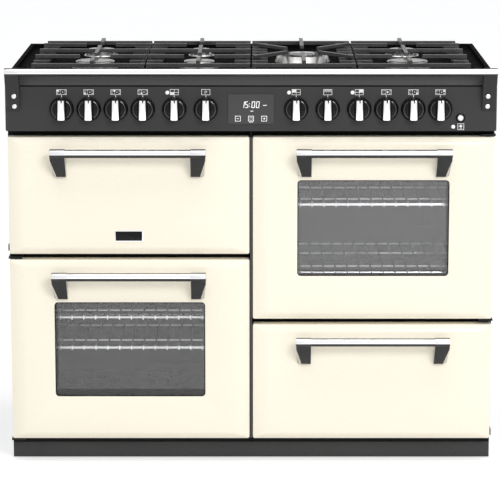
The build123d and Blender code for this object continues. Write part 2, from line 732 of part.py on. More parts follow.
def gas_manifold():
    """The gas rail, its brackets, and the supply pipe to the inlet at the back."""
    y0, y1 = manifold_y()
    right = inlet_x() + 12
    left = min(KNOBS.values()) - 40
    rail = block(left, right, y0, y1, KNOB_Z - 10, KNOB_Z + 10)
    rail -= rod_x(left + 6, right - 6, (y0 + y1) / 2, KNOB_Z, 6)
    inlet_end = BACK_Y - 4
    rail += rod_y(y1 - 1, inlet_end - 1, inlet_x(), KNOB_Z, 9)
    rail += rod_y(inlet_end - GAS_INLET_LENGTH, inlet_end, inlet_x(), KNOB_Z, GAS_INLET_RADIUS)
    rail -= rod_y((y0 + y1) / 2, BACK_Y, inlet_x(), KNOB_Z, 5)
    for x in (left + 10, 0, right - 12):
        rail += block(x - 10, x + 10, FRAME_BACK_Y, y0, FASCIA_BOTTOM - 25, KNOB_Z + 5)
    return [rail]


# Hob
Burner = namedtuple("Burner", "tap section row ring cap")
BURNERS = [
    Burner("gas_1", 0, 1, 41.0, 33.0),
    Burner("gas_2", 0, -1, 55.0, 45.0),
    Burner("gas_3", 1, 1, 31.0, 22.5),
    Burner("gas_4", 1, -1, 47.0, 35.5),
    Burner("gas_5", 2, 0, 65.0, 30.0),
    Burner("gas_6", 3, -1, 53.0, 47.0),
    Burner("gas_7", 3, 1, 41.0, 31.5),
]


def section_edges(index):
    """Left and right edge of one pan support."""
    edges = [-INNER_SECTION - OUTER_SECTION, -INNER_SECTION, 0, INNER_SECTION, INNER_SECTION + OUTER_SECTION]
    return edges[index] + SUPPORT_PLAY / 2, edges[index + 1] - SUPPORT_PLAY / 2


def burner_place(burner):
    """Middle of a burner: the sections share one pitch, and the rows lie at the quarters of the depth."""
    x = (burner.section - 1.5) * INNER_SECTION
    return x, SUPPORT_Y + SUPPORT_DEPTH * (0.5 + 0.25 * burner.row)


def crown_top(burner):
    """Height of the cap's seat above the tray: the wok burner's cap sits level with its ring."""
    return WOK_TOP if burner.row == 0 else CROWN_TOP


def hob_tray():
    """The pressed hob tray with its rim, front lip and burner holes."""
    x = HALF - TRAY_MARGIN
    y0, y1 = FACE_Y + TRAY_SETBACK, BACK_Y
    tray = block(-x, x, y0, y1, LIP_BOTTOM, HOB_HEIGHT)
    tray -= block(-x + RIM, x - RIM, y0 + RIM, y1 - RIM, TRAY_FLOOR_Z, HOB_HEIGHT + 1)
    tray -= block(-x + PLATE, x - PLATE, y0 + PLATE, y1 - PLATE, LIP_BOTTOM - 1, TRAY_FLOOR_Z - PLATE)
    for burner in BURNERS:
        bx, by = burner_place(burner)
        tray -= rod_z(LIP_BOTTOM, TRAY_FLOOR_Z + 1, bx, by, SPIGOT_RADIUS + EASY_FIT)
    return [tray]


def burner_bases():
    """Burner bodies standing on the tray: a spill ring, a crown under the cap and a spigot through the tray."""
    bases = []
    z = TRAY_FLOOR_Z
    for burner in BURNERS:
        x, y = burner_place(burner)
        ring_height = WOK_TOP if burner.row == 0 else RING_HEIGHT
        body = rod_z(z, z + ring_height, x, y, burner.ring)
        body += rod_z(z, z + crown_top(burner), x, y, burner.cap - CAP_OVERHANG)
        body += rod_z(z - SPIGOT_LENGTH, z, x, y, SPIGOT_RADIUS)
        bases.append(body)
    return bases


def burner_caps():
    """The loose cap on each burner."""
    caps = []
    for burner in BURNERS:
        x, y = burner_place(burner)
        z = TRAY_FLOOR_Z + crown_top(burner)
        cap = rod_z(z, z + CAP_HEIGHT, x, y, burner.cap)
        caps.append(chamfer(cap.edges().group_by(Axis.Z)[-1], 2))
    return caps


def burner_pipes():
    """A pipe from each tap to its burner, under the tray."""
    pipes = []
    z = TRAY_FLOOR_Z - SPIGOT_LENGTH + PIPE_RADIUS
    for burner in BURNERS:
        x, y = burner_place(burner)
        tap_x = KNOBS[burner.tap]
        tap_y = manifold_y()[0] - 20
        run = hypot(x - tap_x, y - tap_y)
        turn = degrees(atan2(y - tap_y, x - tap_x))
        level = Pos(tap_x, tap_y, z) * Rot(0, 0, turn) * rod_x(0, run - SPIGOT_RADIUS + 0.5, 0, 0, PIPE_RADIUS)
        spigot = rod_z(TRAY_FLOOR_Z - SPIGOT_LENGTH, TRAY_FLOOR_Z, x, y, SPIGOT_RADIUS)
        riser = rod_z(KNOB_Z + 16, z, tap_x, tap_y, PIPE_RADIUS)
        pipes.append(riser + level + Pos(tap_x, tap_y, z) * Sphere(PIPE_RADIUS) - spigot)
    return pipes


def pan_support(index):
    """One cast-iron pan support: a frame on feet, a comb of short fins at each side, and the pan fingers."""
    x0, x1 = section_edges(index)
    y0, y1 = SUPPORT_Y, SUPPORT_Y + SUPPORT_DEPTH
    bar = SUPPORT_BAR
    frame_top = HOB_HEIGHT + FRAME_RISE
    frame_low = frame_top - FRAME_BAR_HEIGHT
    top = HOB_HEIGHT + FINGER_RISE
    low = top - FINGER_HEIGHT
    shape = block(x0, x1, y0, y1, frame_low, frame_top)
    shape -= block(x0 + bar, x1 - bar, y0 + bar, y1 - bar, frame_low - 1, frame_top + 1)
    for x in (x0, x1 - bar):
        shape -= block(x - 1, x + bar + 1, y0 + bar, y1 - bar, frame_top - FIN_DROP, frame_top + 1)
        for y in (y0, y1 - bar):
            shape += block(x, x + bar, y, y + bar, TRAY_FLOOR_Z, frame_low)
    pitch = (SUPPORT_DEPTH - bar) / (FINS + 1)
    for step in range(1, FINS + 1):
        y = y0 + bar / 2 + step * pitch
        shape += block(x0, x0 + FIN_LENGTH, y - FIN / 2, y + FIN / 2, frame_low, frame_top)
        shape += block(x1 - FIN_LENGTH, x1, y - FIN / 2, y + FIN / 2, frame_low, frame_top)
    burners = [burner for burner in BURNERS if burner.section == index]
    middle_y = (y0 + y1) / 2
    for burner in burners:
        x, y = burner_place(burner)
        if burner.row == 0:
            shape += block(x - bar / 2, x + bar / 2, y0, y - burner.ring - FINGER_CLEAR, low, top)
            shape += block(x - bar / 2, x + bar / 2, y + burner.ring + FINGER_CLEAR, y1, low, top)
            for side_x, edge_x in ((-1, x0 + bar / 2), (1, x1 - bar / 2)):
                for side_y in (-1, 1):
                    start = Vector(edge_x - x, side_y * WOK_FINGER_ROOT * SUPPORT_DEPTH, 0)
                    tip = Vector(side_x, side_y, 0) * WOK_FINGER_TIP
                    turn = degrees(atan2(start.Y - tip.Y, start.X - tip.X))
                    finger = block(0, (start - tip).length, -bar / 2, bar / 2, low, top)
                    shape += Pos(x + tip.X, y + tip.Y, 0) * Rot(0, 0, turn) * finger
            continue
        edge = y0 if burner.row < 0 else y1
        inward = 1 if burner.row < 0 else -1
        shape += block(x - bar / 2, x + bar / 2, edge, y - inward * FINGER_GAP, low, top)
        shape += block(x - bar / 2, x + bar / 2, middle_y, y + inward * FINGER_GAP, low, top)
        shape += block(x0, x - FINGER_GAP, y - bar / 2, y + bar / 2, low, top)
        shape += block(x + FINGER_GAP, x1, y - bar / 2, y + bar / 2, low, top)
    if len(burners) > 1:
        shape += block(x0, x1, middle_y - bar / 2, middle_y + bar / 2, low, top)
    return [shape]


def hob_rail():
    """The rail in front of the hob, on two brackets fixed to the control panel."""
    bar_y = FACE_Y - RAIL_FORWARD
    bar_z = HOB_HEIGHT + RAIL_RISE
    end = HALF - RAIL_INSET
    bar_half = end - RAIL_CAP_LENGTH + SOCKET_DEPTH - SOCKET_PLAY
    foot_z = FASCIA_TOP - RAIL_FOOT
    pieces = [rod_x(-bar_half, bar_half, bar_y, bar_z, RAIL_RADIUS)]
    for direction in (1, -1):
        pieces.append(bar_bracket(
            -direction * end, direction, RAIL_CAP_LENGTH, RAIL_CAP_RADIUS, RAIL_RADIUS,
            bar_y, bar_z, FASCIA_Y, foot_z, FASCIA_TOP - 4,
        ))
    return pieces


NODES = {
    "base_frame": base_frame(),
    "side_panels": side_panels(),
    "back_panel": back_panel(),
    "front_frame": front_frame(),
    "plinth": plinth(),
    "levelling_feet": levelling_feet(),
    "hob_tray": hob_tray(),
    "control_panel": control_panel(),
    "hob_rail": hob_rail(),
    "clock_module": clock_module(),
    "light_button": light_button(),
    "burner_bases": burner_bases(),
    "burner_caps": burner_caps(),
    "burner_pipes": burner_pipes(),
    "oven_racks": oven_racks(),
    "shelf_runners": shelf_runners(),
    "fan_covers": fan_covers(),
    "fan_motors": fan_motors(),
    "heating_elements": heating_elements(),
    "gas_manifold": gas_manifold(),
    "gas_taps": gas_taps(),
    "oven_switches": oven_switches(),
    "door_seals": door_seals(),
    "door_hinges": door_hinges(),
}
for number in range(4):
    NODES[f"pan_support_{number + 1}"] = pan_support(number)
for name, x in KNOBS.items():
    NODES[f"knob_{name}"] = knob(x)
for door in DOORS:
    NODES[f"cavity_{door.name}"] = cavity(door)
    NODES[f"door_panel_{door.name}"] = door_panel(door)
    NODES[f"door_liner_{door.name}"] = door_liner(door)
    NODES[f"door_handle_{door.name}"] = door_handle(door)
    if door.window:
        NODES[f"door_glass_{door.name}"] = door_glass(door)
    if has_fan(door):
        NODES[f"fan_{door.name}"] = fan(door)

os.makedirs("parts", exist_ok=True)
for name, pieces in NODES.items():
    solids = [solid for piece in pieces for solid in piece.solids()]
    shape = solids[0] if len(solids) == 1 else Compound(children=solids)
    shape.label = name
    export_step(shape, f"parts/{name}.step")
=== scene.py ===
"""Range cooker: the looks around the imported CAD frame. Mesh code works in millimetres."""
import json
import math

import bmesh
import bpy
from mathutils import Matrix, Vector


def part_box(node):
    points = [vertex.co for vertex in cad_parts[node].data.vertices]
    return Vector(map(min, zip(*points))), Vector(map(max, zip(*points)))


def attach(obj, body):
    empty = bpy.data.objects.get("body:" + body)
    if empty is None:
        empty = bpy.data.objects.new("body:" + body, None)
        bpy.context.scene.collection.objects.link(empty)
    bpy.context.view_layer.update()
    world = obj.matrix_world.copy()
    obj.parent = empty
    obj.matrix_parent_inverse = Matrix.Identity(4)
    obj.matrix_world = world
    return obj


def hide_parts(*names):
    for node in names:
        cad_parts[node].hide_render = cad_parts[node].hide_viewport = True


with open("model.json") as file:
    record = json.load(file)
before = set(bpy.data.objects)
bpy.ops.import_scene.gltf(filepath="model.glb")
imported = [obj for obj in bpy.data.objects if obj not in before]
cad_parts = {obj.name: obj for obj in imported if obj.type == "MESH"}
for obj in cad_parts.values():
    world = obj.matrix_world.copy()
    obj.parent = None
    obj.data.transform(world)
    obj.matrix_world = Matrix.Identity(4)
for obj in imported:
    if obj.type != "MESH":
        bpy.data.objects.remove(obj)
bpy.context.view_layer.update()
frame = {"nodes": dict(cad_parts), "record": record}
scene = bpy.context.scene
scene.view_settings.view_transform = "Standard"

METRE = 1000.0
ROOT = "cooker"
DOORS = ("top_left", "bottom_left", "top_right", "bottom_right")


def node_box(name):
    """Lowest and highest corner of a CAD node, in millimetres."""
    low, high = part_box(name)
    return low * METRE, high * METRE


# Materials
def node_graph(name):
    """A new material with its node tree and shader."""
    material = bpy.data.materials.new(name)
    material.use_nodes = True
    tree = material.node_tree
    return material, tree, tree.nodes["Principled BSDF"]


def grey(level):
    return (level, level, level)


def set_inputs(node, **values):
    """Sets sockets by name, with underscores for the spaces."""
    for name, value in values.items():
        node.inputs[name.replace("_", " ")].default_value = value


def noise(tree, scale, detail=3.0):
    """A noise over the object's own coordinates, in cycles per metre."""
    coordinates = tree.nodes.new("ShaderNodeTexCoord")
    texture = tree.nodes.new("ShaderNodeTexNoise")
    set_inputs(texture, Scale=scale, Detail=detail)
    tree.links.new(coordinates.outputs["Object"], texture.inputs["Vector"])
    return texture


def map_range(tree, source, low, high, start=0.3, end=0.7):
    """Takes a factor from start..end to low..high."""
    node = tree.nodes.new("ShaderNodeMapRange")
    set_inputs(node, From_Min=start, From_Max=end, To_Min=low, To_Max=high)
    tree.links.new(source, node.inputs["Value"])
    return node.outputs["Result"]


COLOUR_A, COLOUR_B, COLOUR_RESULT = 6, 7, 2     # colour sockets of the mix node


def mix_colour(tree, factor, first, second):
    node = tree.nodes.new("ShaderNodeMix")
    node.data_type = "RGBA"
    tree.links.new(factor, node.inputs["Factor"])
    node.inputs[COLOUR_A].default_value = (*first, 1)
    node.inputs[COLOUR_B].default_value = (*second, 1)
    return node.outputs[COLOUR_RESULT]


def add_bump(tree, shader, height, strength, distance):
    bump = tree.nodes.new("ShaderNodeBump")
    set_inputs(bump, Strength=strength, Distance=distance)
    tree.links.new(height, bump.inputs["Height"])
    tree.links.new(bump.outputs["Normal"], shader.inputs["Normal"])


def surface(name, colour, roughness, metallic=0.0, vary=0.06, vary_scale=5.0, grain=0.1, grain_scale=600.0,
            grain_depth=0.0002, coat=0.0, specular=0.5):
    """A finish whose colour and roughness drift slowly, with a finer grain in its relief."""
    material, tree, shader = node_graph(name)
    drift = noise(tree, vary_scale)
    dark = [channel * (1 - vary) for channel in colour]
    light = [min(1, channel * (1 + vary)) for channel in colour]
    factor = map_range(tree, drift.outputs["Fac"], 0, 1)
    tree.links.new(mix_colour(tree, factor, dark, light), shader.inputs["Base Color"])
    fine = noise(tree, grain_scale)
    rough = map_range(tree, fine.outputs["Fac"], roughness * 0.85, roughness * 1.15)
    tree.links.new(rough, shader.inputs["Roughness"])
    add_bump(tree, shader, fine.outputs["Fac"], grain, grain_depth)
    set_inputs(shader, Metallic=metallic, Coat_Weight=coat, Coat_Roughness=0.04, Specular_IOR_Level=specular)
    return material


def speckled(name, colour, speck, roughness, amount=0.68, scale=700.0, specular=0.3):
    """Enamel with fine pale specks."""
    material, tree, shader = node_graph(name)
    spots = noise(tree, scale, detail=1.0)
    factor = map_range(tree, spots.outputs["Fac"], 0, 1, amount, amount + 0.05)
    tree.links.new(mix_colour(tree, factor, colour, speck), shader.inputs["Base Color"])
    peel = noise(tree, scale=140.0)
    rough = map_range(tree, peel.outputs["Fac"], roughness * 0.8, roughness * 1.3)
    tree.links.new(rough, shader.inputs["Roughness"])
    add_bump(tree, shader, peel.outputs["Fac"], strength=0.06, distance=0.0005)
    set_inputs(shader, Specular_IOR_Level=specular)
    return material


def galvanised(name):
    """Zinc-coated sheet with its crystal spangle."""
    material, tree, shader = node_graph(name)
    coordinates = tree.nodes.new("ShaderNodeTexCoord")
    cells = tree.nodes.new("ShaderNodeTexVoronoi")
    set_inputs(cells, Scale=90.0)
    tree.links.new(coordinates.outputs["Object"], cells.inputs["Vector"])
    split = tree.nodes.new("ShaderNodeSeparateColor")
    tree.links.new(cells.outputs["Color"], split.inputs["Color"])
    zinc = mix_colour(tree, split.outputs["Red"], (0.49, 0.50, 0.51), (0.57, 0.58, 0.59))
    tree.links.new(zinc, shader.inputs["Base Color"])
    tree.links.new(map_range(tree, split.outputs["Green"], 0.38, 0.46, 0, 1), shader.inputs["Roughness"])
    set_inputs(shader, Metallic=0.85)
    return material


def turned_metal(name, colour, roughness):
    """Cast alloy with the fine rings of turning around the object's own Z axis."""
    material, tree, shader = node_graph(name)
    coordinates = tree.nodes.new("ShaderNodeTexCoord")
    rings = tree.nodes.new("ShaderNodeTexWave")
    rings.wave_type = "RINGS"
    rings.rings_direction = "Z"
    set_inputs(rings, Scale=320.0, Distortion=0.6)
    tree.links.new(coordinates.outputs["Object"], rings.inputs["Vector"])
    stain = noise(tree, scale=30.0)
    factor = map_range(tree, stain.outputs["Fac"], 0, 1)
    tree.links.new(mix_colour(tree, factor, [0.8 * c for c in colour], colour), shader.inputs["Base Color"])
    rough = map_range(tree, rings.outputs["Fac"], roughness * 0.8, roughness * 1.25, 0, 1)
    tree.links.new(rough, shader.inputs["Roughness"])
    add_bump(tree, shader, rings.outputs["Fac"], strength=0.05, distance=0.0001)
    set_inputs(shader, Metallic=1.0)
    return material


def tinted_glass(name, colour, drift_to, ior=1.5):
    """Grey oven glass with a faint film of uneven reflection."""
    material, tree, shader = node_graph(name)
    film = noise(tree, scale=3.0)
    factor = map_range(tree, film.outputs["Fac"], 0, 1)
    tree.links.new(mix_colour(tree, factor, colour, drift_to), shader.inputs["Base Color"])
    tree.links.new(map_range(tree, film.outputs["Fac"], 0.0, 0.03), shader.inputs["Roughness"])
    set_inputs(shader, Transmission_Weight=1.0, IOR=ior)
    return material


def glowing(name, colour, strength):
    """A glowing mark with a little unevenness, for lamps and for print given a painted glow."""
    material, tree, shader = node_graph(name)
    drift = noise(tree, scale=200.0)
    factor = map_range(tree, drift.outputs["Fac"], 0, 1)
    tint = mix_colour(tree, factor, [0.94 * c for c in colour], colour)
    tree.links.new(tint, shader.inputs["Base Color"])
    tree.links.new(tint, shader.inputs["Emission Color"])
    set_inputs(shader, Roughness=0.35, Emission_Strength=strength)
    return material


MATERIALS = {
    "cream_enamel": surface("cream_enamel", (0.95, 0.888, 0.74), 0.25, vary=0.012, vary_scale=2.0, grain=0.04,
                            grain_scale=160.0, coat=0.15, specular=0.35),
    "fascia_grey": surface("fascia_grey", grey(0.036), 0.42, vary=0.05, grain=0.05, grain_scale=1500.0,
                           specular=0.25),
    "plinth_grey": surface("plinth_grey", grey(0.058), 0.5, vary=0.06, grain=0.06, grain_scale=1200.0,
                           specular=0.15),
    "carcass_steel": surface("carcass_steel", grey(0.012), 0.4, vary=0.1, grain=0.08, grain_scale=900.0,
                             specular=0.2),
    "galvanised_sheet": galvanised("galvanised_sheet"),
    "black_enamel": speckled("black_enamel", (0.007, 0.007, 0.0075), (0.016, 0.016, 0.017), 0.5,
                             specular=0.1),
    "cavity_enamel": speckled("cavity_enamel", (0.042, 0.042, 0.044), (0.064, 0.064, 0.068), 0.3,
                              amount=0.62),
    "chrome": surface("chrome", (0.93, 0.93, 0.94), 0.07, metallic=1.0, vary=0.02, grain=0.01,
                      grain_scale=300.0),
    "door_glass": tinted_glass("door_glass", grey(0.92), grey(0.96)),
    "clock_glass": surface("clock_glass", grey(0.05), 0.15, vary=0.04, grain=0.01, specular=0.4),
    "knob_black": surface("knob_black", grey(0.004), 0.1, vary=0.15, grain=0.02, grain_scale=900.0,
                          specular=0.2),
    "button_white": surface("button_white", (0.9, 0.9, 0.89), 0.2, vary=0.02, grain=0.02),
    "cast_iron": surface("cast_iron", (0.045, 0.045, 0.046), 0.34, vary=0.2, vary_scale=60.0, grain=0.3,
                         grain_scale=700.0, grain_depth=0.0005),
    "burner_alloy": turned_metal("burner_alloy", (0.66, 0.65, 0.64), 0.3),
    "tube_steel": surface("tube_steel", (0.5, 0.5, 0.51), 0.3, metallic=1.0, vary=0.1, vary_scale=20.0),
    "gas_brass": surface("gas_brass", (0.66, 0.48, 0.2), 0.3, metallic=1.0, vary=0.1, vary_scale=30.0),
    "switch_plastic": surface("switch_plastic", (0.75, 0.72, 0.62), 0.5, vary=0.03),
    "seal_rubber": surface("seal_rubber", grey(0.012), 0.7, vary=0.1, grain=0.3, grain_scale=900.0,
                           specular=0.2),
    "foot_plastic": surface("foot_plastic", grey(0.015), 0.55, vary=0.1, grain=0.2, grain_scale=800.0,
                            specular=0.3),
}
DARK_METAL = surface("dark_metal", grey(0.03), 0.4, grain=0.04, grain_scale=900.0, specular=0.2)
TRIM_GREY = surface("trim_grey", grey(0.07), 0.4, vary=0.05, grain=0.05, grain_scale=1500.0, specular=0.25)
SATIN_METAL = surface("satin_metal", (0.78, 0.78, 0.79), 0.32, metallic=1.0, vary=0.03, grain=0.03)
# Painted reflection: dark metal for the lowest strip of the handle bars, rail and caps, where the chrome
# would mirror dark surroundings
UNDERSIDE_DARK_REFLECTION = surface("underside_painted_reflection", grey(0.05), 0.35, metallic=1.0, grain=0.02)
# Painted reflection: grey metal along the crest of the same bars and caps
CREST_DARK_REFLECTION = surface("crest_painted_reflection", grey(0.2), 0.2, metallic=1.0, vary=0.05)
LEG_SIDE = surface("leg_side", (0.55, 0.55, 0.54), 0.25, metallic=0.8, vary=0.04, grain=0.03)
KNOB_EDGE = surface("knob_edge", grey(0.09), 0.16, metallic=1.0, vary=0.05, grain=0.01)
# Painted shade: the rack's chrome wires made near-black, so that they read as shaded
SHADED_RACK_WIRE = surface("rack_wire_painted_shade", (0.045, 0.045, 0.046), 0.5, metallic=1.0, vary=0.05)
RACK_BAR = surface("rack_bar", (0.93, 0.93, 0.94), 0.3, metallic=1.0, vary=0.03)
# Painted light: the panel print glows a little, though print is no lamp
PRINT_PAINTED_GLOW = glowing("print_painted_glow", (0.85, 0.85, 0.83), 0.06)
LIT_WHITE = glowing("lit_white", (0.95, 0.95, 0.93), 0.2)
HOB_ENAMEL = speckled("hob_enamel", (0.005, 0.005, 0.0052), (0.009, 0.009, 0.0095), 0.6, specular=0.004)
COATED_GLASS = tinted_glass("coated_glass", grey(0.92), grey(0.96), ior=1.42)
OVEN_DARK = surface("oven_dark", (0.03, 0.03, 0.032), 0.45, vary=0.1, grain=0.05, specular=0.2)
CERAMIC = surface("ceramic", (0.85, 0.83, 0.78), 0.35, vary=0.03, grain=0.05)

for entry in frame["record"]["subparts"]:
    node = frame["nodes"][entry["node"]]
    node.data.materials.clear()
    node.data.materials.append(MATERIALS[entry["material_slot"]])
for name in ("fan_bottom_left", "fan_top_right", "fan_covers"):
    frame["nodes"][name].data.materials[0] = OVEN_DARK
frame["nodes"]["hob_tray"].data.materials[0] = HOB_ENAMEL
frame["nodes"]["door_glass_bottom_left"].data.materials[0] = COATED_GLASS


# Mesh helpers
def chamfer(bm, edges, width):
    bmesh.ops.bevel(bm, geom=list(edges), offset=width, segments=2, profile=0.5, affect="EDGES",
                    clamp_overlap=True)


def paint(bm, before, index):
    """Gives the faces made since before a material index."""
    for face in bm.faces:
        if face not in before:
            face.material_index = index


def add_rings(bm, rings):
    """Joins outlines of equal point count, in order, and gives back their vertices."""
    loops = [[bm.verts.new(point) for point in ring] for ring in rings]
    for lower, upper in zip(loops, loops[1:]):
        for count in range(len(lower)):
            after = (count + 1) % len(lower)
            bm.faces.new((lower[count], lower[after], upper[after], upper[count]))
    return loops


def add_lathe(bm, profile, place, segments=48, index=0, notches=(), notch_depth=0.0):
    """Turns a profile of (radius, height) around an axis. place takes (x, y, height) to the mesh.
    Profile points named in notches are cut back on every second pair of segments, which leaves slots.
    A profile that ends at its first point makes a closed ring."""
    rings = []
    for step, (radius, height) in enumerate(profile):
        if step and (radius, height) == profile[0]:
            rings.append(rings[0])
            continue
        if radius == 0:
            rings.append([bm.verts.new(place(0, 0, height))])
            continue
        ring = []
        for count in range(segments):
            turn = 2 * math.pi * count / segments
            cut = notch_depth if step in notches and count // 2 % 2 else 0.0
            reach = radius - cut
            ring.append(bm.verts.new(place(reach * math.cos(turn), reach * math.sin(turn), height)))
        rings.append(ring)
    for first, second in zip(rings, rings[1:]):
        for count in range(segments):
            after = (count + 1) % segments
            corners = [first[count % len(first)], first[after % len(first)],
                       second[after % len(second)], second[count % len(second)]]
            face = bm.faces.new(list(dict.fromkeys(corners)))
            face.material_index = index


def upright(x, y, z):
    """An axis that points up."""
    return lambda u, v, w: Vector((x + u, y + v, z + w))


def outward(x, y, z):
    """An axis that points to the front of the cooker."""
    return lambda u, v, w: Vector((x + u, y - w, z + v))


def backward(x, y, z):
    """An axis that points to the back of the cooker."""
    return lambda u, v, w: Vector((x + u, y + w, z + v))


def sideways(x, y, z):
    """An axis that points to the right."""
    return lambda u, v, w: Vector((x + w, y + u, z + v))


def add_rod(bm, start, end, radius, segments=12, index=0):
    """A round bar with slightly rounded ends between two points."""
    start, end = Vector(start), Vector(end)
    length = (end - start).length
    frame_turn = (end - start).to_track_quat("Z", "Y").to_matrix()
    lip = min(0.3 * radius, length / 4)
    profile = [(0, 0), (radius - lip, 0), (radius, lip), (radius, length - lip), (radius - lip, length),
               (0, length)]
    add_lathe(bm, profile, lambda u, v, w: start + frame_turn @ Vector((u, v, w)), segments, index)


def add_prism(bm, outline, place, low, high, edge=0.0, index=0):
    """A flat outline of (x, y) made into a plate from low to high; edge rounds its upper rim."""
    bottom = [bm.verts.new(place(x, y, low)) for x, y in outline]
    top = [bm.verts.new(place(x, y, high)) for x, y in outline]
    faces = [bm.faces.new(bottom), bm.faces.new(top)]
    rim = faces[1].edges[:]
    for count in range(len(outline)):
        after = (count + 1) % len(outline)
        faces.append(bm.faces.new((bottom[count], bottom[after], top[after], top[count])))
    for face in faces:
        face.material_index = index
    if edge:
        before = set(bm.faces) - set(faces)
        chamfer(bm, rim, edge)
        paint(bm, before, index)


def add_hull(bm, points, edge):
    """The convex solid around some points, with its flat faces joined and its edges rounded."""
    before = set(bm.edges)
    corners = [bm.verts.new(point) for point in points]
    bmesh.ops.convex_hull(bm, input=corners)
    fresh = [line for line in bm.edges if line not in before]
    used = [corner for corner in corners if corner.is_valid]
    bmesh.ops.dissolve_limit(bm, angle_limit=math.radians(1), edges=fresh, verts=used)
    chamfer(bm, [line for line in bm.edges if line not in before], edge)


def rectangle(width, height, corner=0.0, x=0.0, y=0.0, steps=4):
    """A rectangle around (x, y), with round corners where a corner radius is given."""
    if not corner:
        return [(x - width / 2, y - height / 2), (x + width / 2, y - height / 2),
                (x + width / 2, y + height / 2), (x - width / 2, y + height / 2)]
    points = []
    for quarter, (sx, sy) in enumerate(((1, 1), (-1, 1), (-1, -1), (1, -1))):
        for step in range(steps + 1):
            turn = math.pi / 2 * (quarter + step / steps)
            points.append((x + sx * (width / 2 - corner) + corner * math.cos(turn),
                           y + sy * (height / 2 - corner) + corner * math.sin(turn)))
    return points


def circle(radius, x=0.0, y=0.0, steps=24):
    turns = [2 * math.pi * step / steps for step in range(steps)]
    return [(x + radius * math.cos(turn), y + radius * math.sin(turn)) for turn in turns]


SHARP_ANGLE = math.radians(32)


def piece(name, bm, body, materials, replaced=(), origin=(0, 0, 0)):
    """Makes the mesh an object that rides on a body; edges over the sharp angle stay crisp."""
    bmesh.ops.recalc_face_normals(bm, faces=bm.faces)
    for face in bm.faces:
        face.smooth = True
    for edge in bm.edges:
        edge.smooth = len(edge.link_faces) == 2 and edge.calc_face_angle() < SHARP_ANGLE
    mesh = bpy.data.meshes.new(name)
    bm.to_mesh(mesh)
    bm.free()
    mesh.transform(Matrix.Translation(-Vector(origin)))
    mesh.transform(Matrix.Scale(1 / METRE, 4))
    for material in materials:
        mesh.materials.append(material)
    made = bpy.data.objects.new(name, mesh)
    made.location = Vector(origin) / METRE
    scene.collection.objects.link(made)
    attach(made, body)
    if replaced:
        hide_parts(*replaced)


WELD_REACH = 0.00002    # in metres
SOFTEN_ANGLE = math.radians(25)


def soften(node_name, width, segments=2):
    """Rounds the edges of a CAD node without touching its mesh."""
    node = frame["nodes"][node_name]
    weld = node.modifiers.new("weld", "WELD")
    weld.merge_threshold = WELD_REACH
    bevel = node.modifiers.new("soften", "BEVEL")
    bevel.width = width / METRE
    bevel.segments = segments
    bevel.limit_method = "ANGLE"
    bevel.angle_limit = SOFTEN_ANGLE
    bevel.harden_normals = True


SHEET_ROUND, IRON_ROUND = 0.8, 2.2
for name in ("control_panel", "hob_tray", "plinth", "clock_module"):
    soften(name, SHEET_ROUND)
for number in range(1, 5):
    soften(f"pan_support_{number}", IRON_ROUND, segments=3)

# Camera
CAMERA_PITCH = 10.57
camera_data = bpy.data.cameras.new("camera")
camera_data.lens = 178.6
camera_data.sensor_width = 36.0
camera_data.shift_x = -0.0157
camera_data.shift_y = -0.06
camera_data.clip_end = 60.0
camera = bpy.data.objects.new("camera", camera_data)
camera.location = (0.0153, -5.776, 1.595)
camera.rotation_euler = (math.radians(90 - CAMERA_PITCH), 0, 0)
scene.collection.objects.link(camera)
scene.camera = camera


# Door skins: the raised panel swells softly out of the door's edge
DOOR_RAISE, SIDE_BEVEL, END_BEVEL, DOOR_CORNER = 11.0, 37.0, 18.0, 4.0
EDGE_ROUND, CORNER_GROWTH, FIRST_SHARE = 1.2, 4.0, 0.012
SKIN, BEVEL_STEPS, BEVEL_CURVE, CORNER_STEPS = 1.5, 12, 1.7, 6
WINDOW_WIDTH, WINDOW_HEIGHT, WINDOW_DROP, WINDOW_CORNER = 342.0, 220.0, 97.0, 8.0
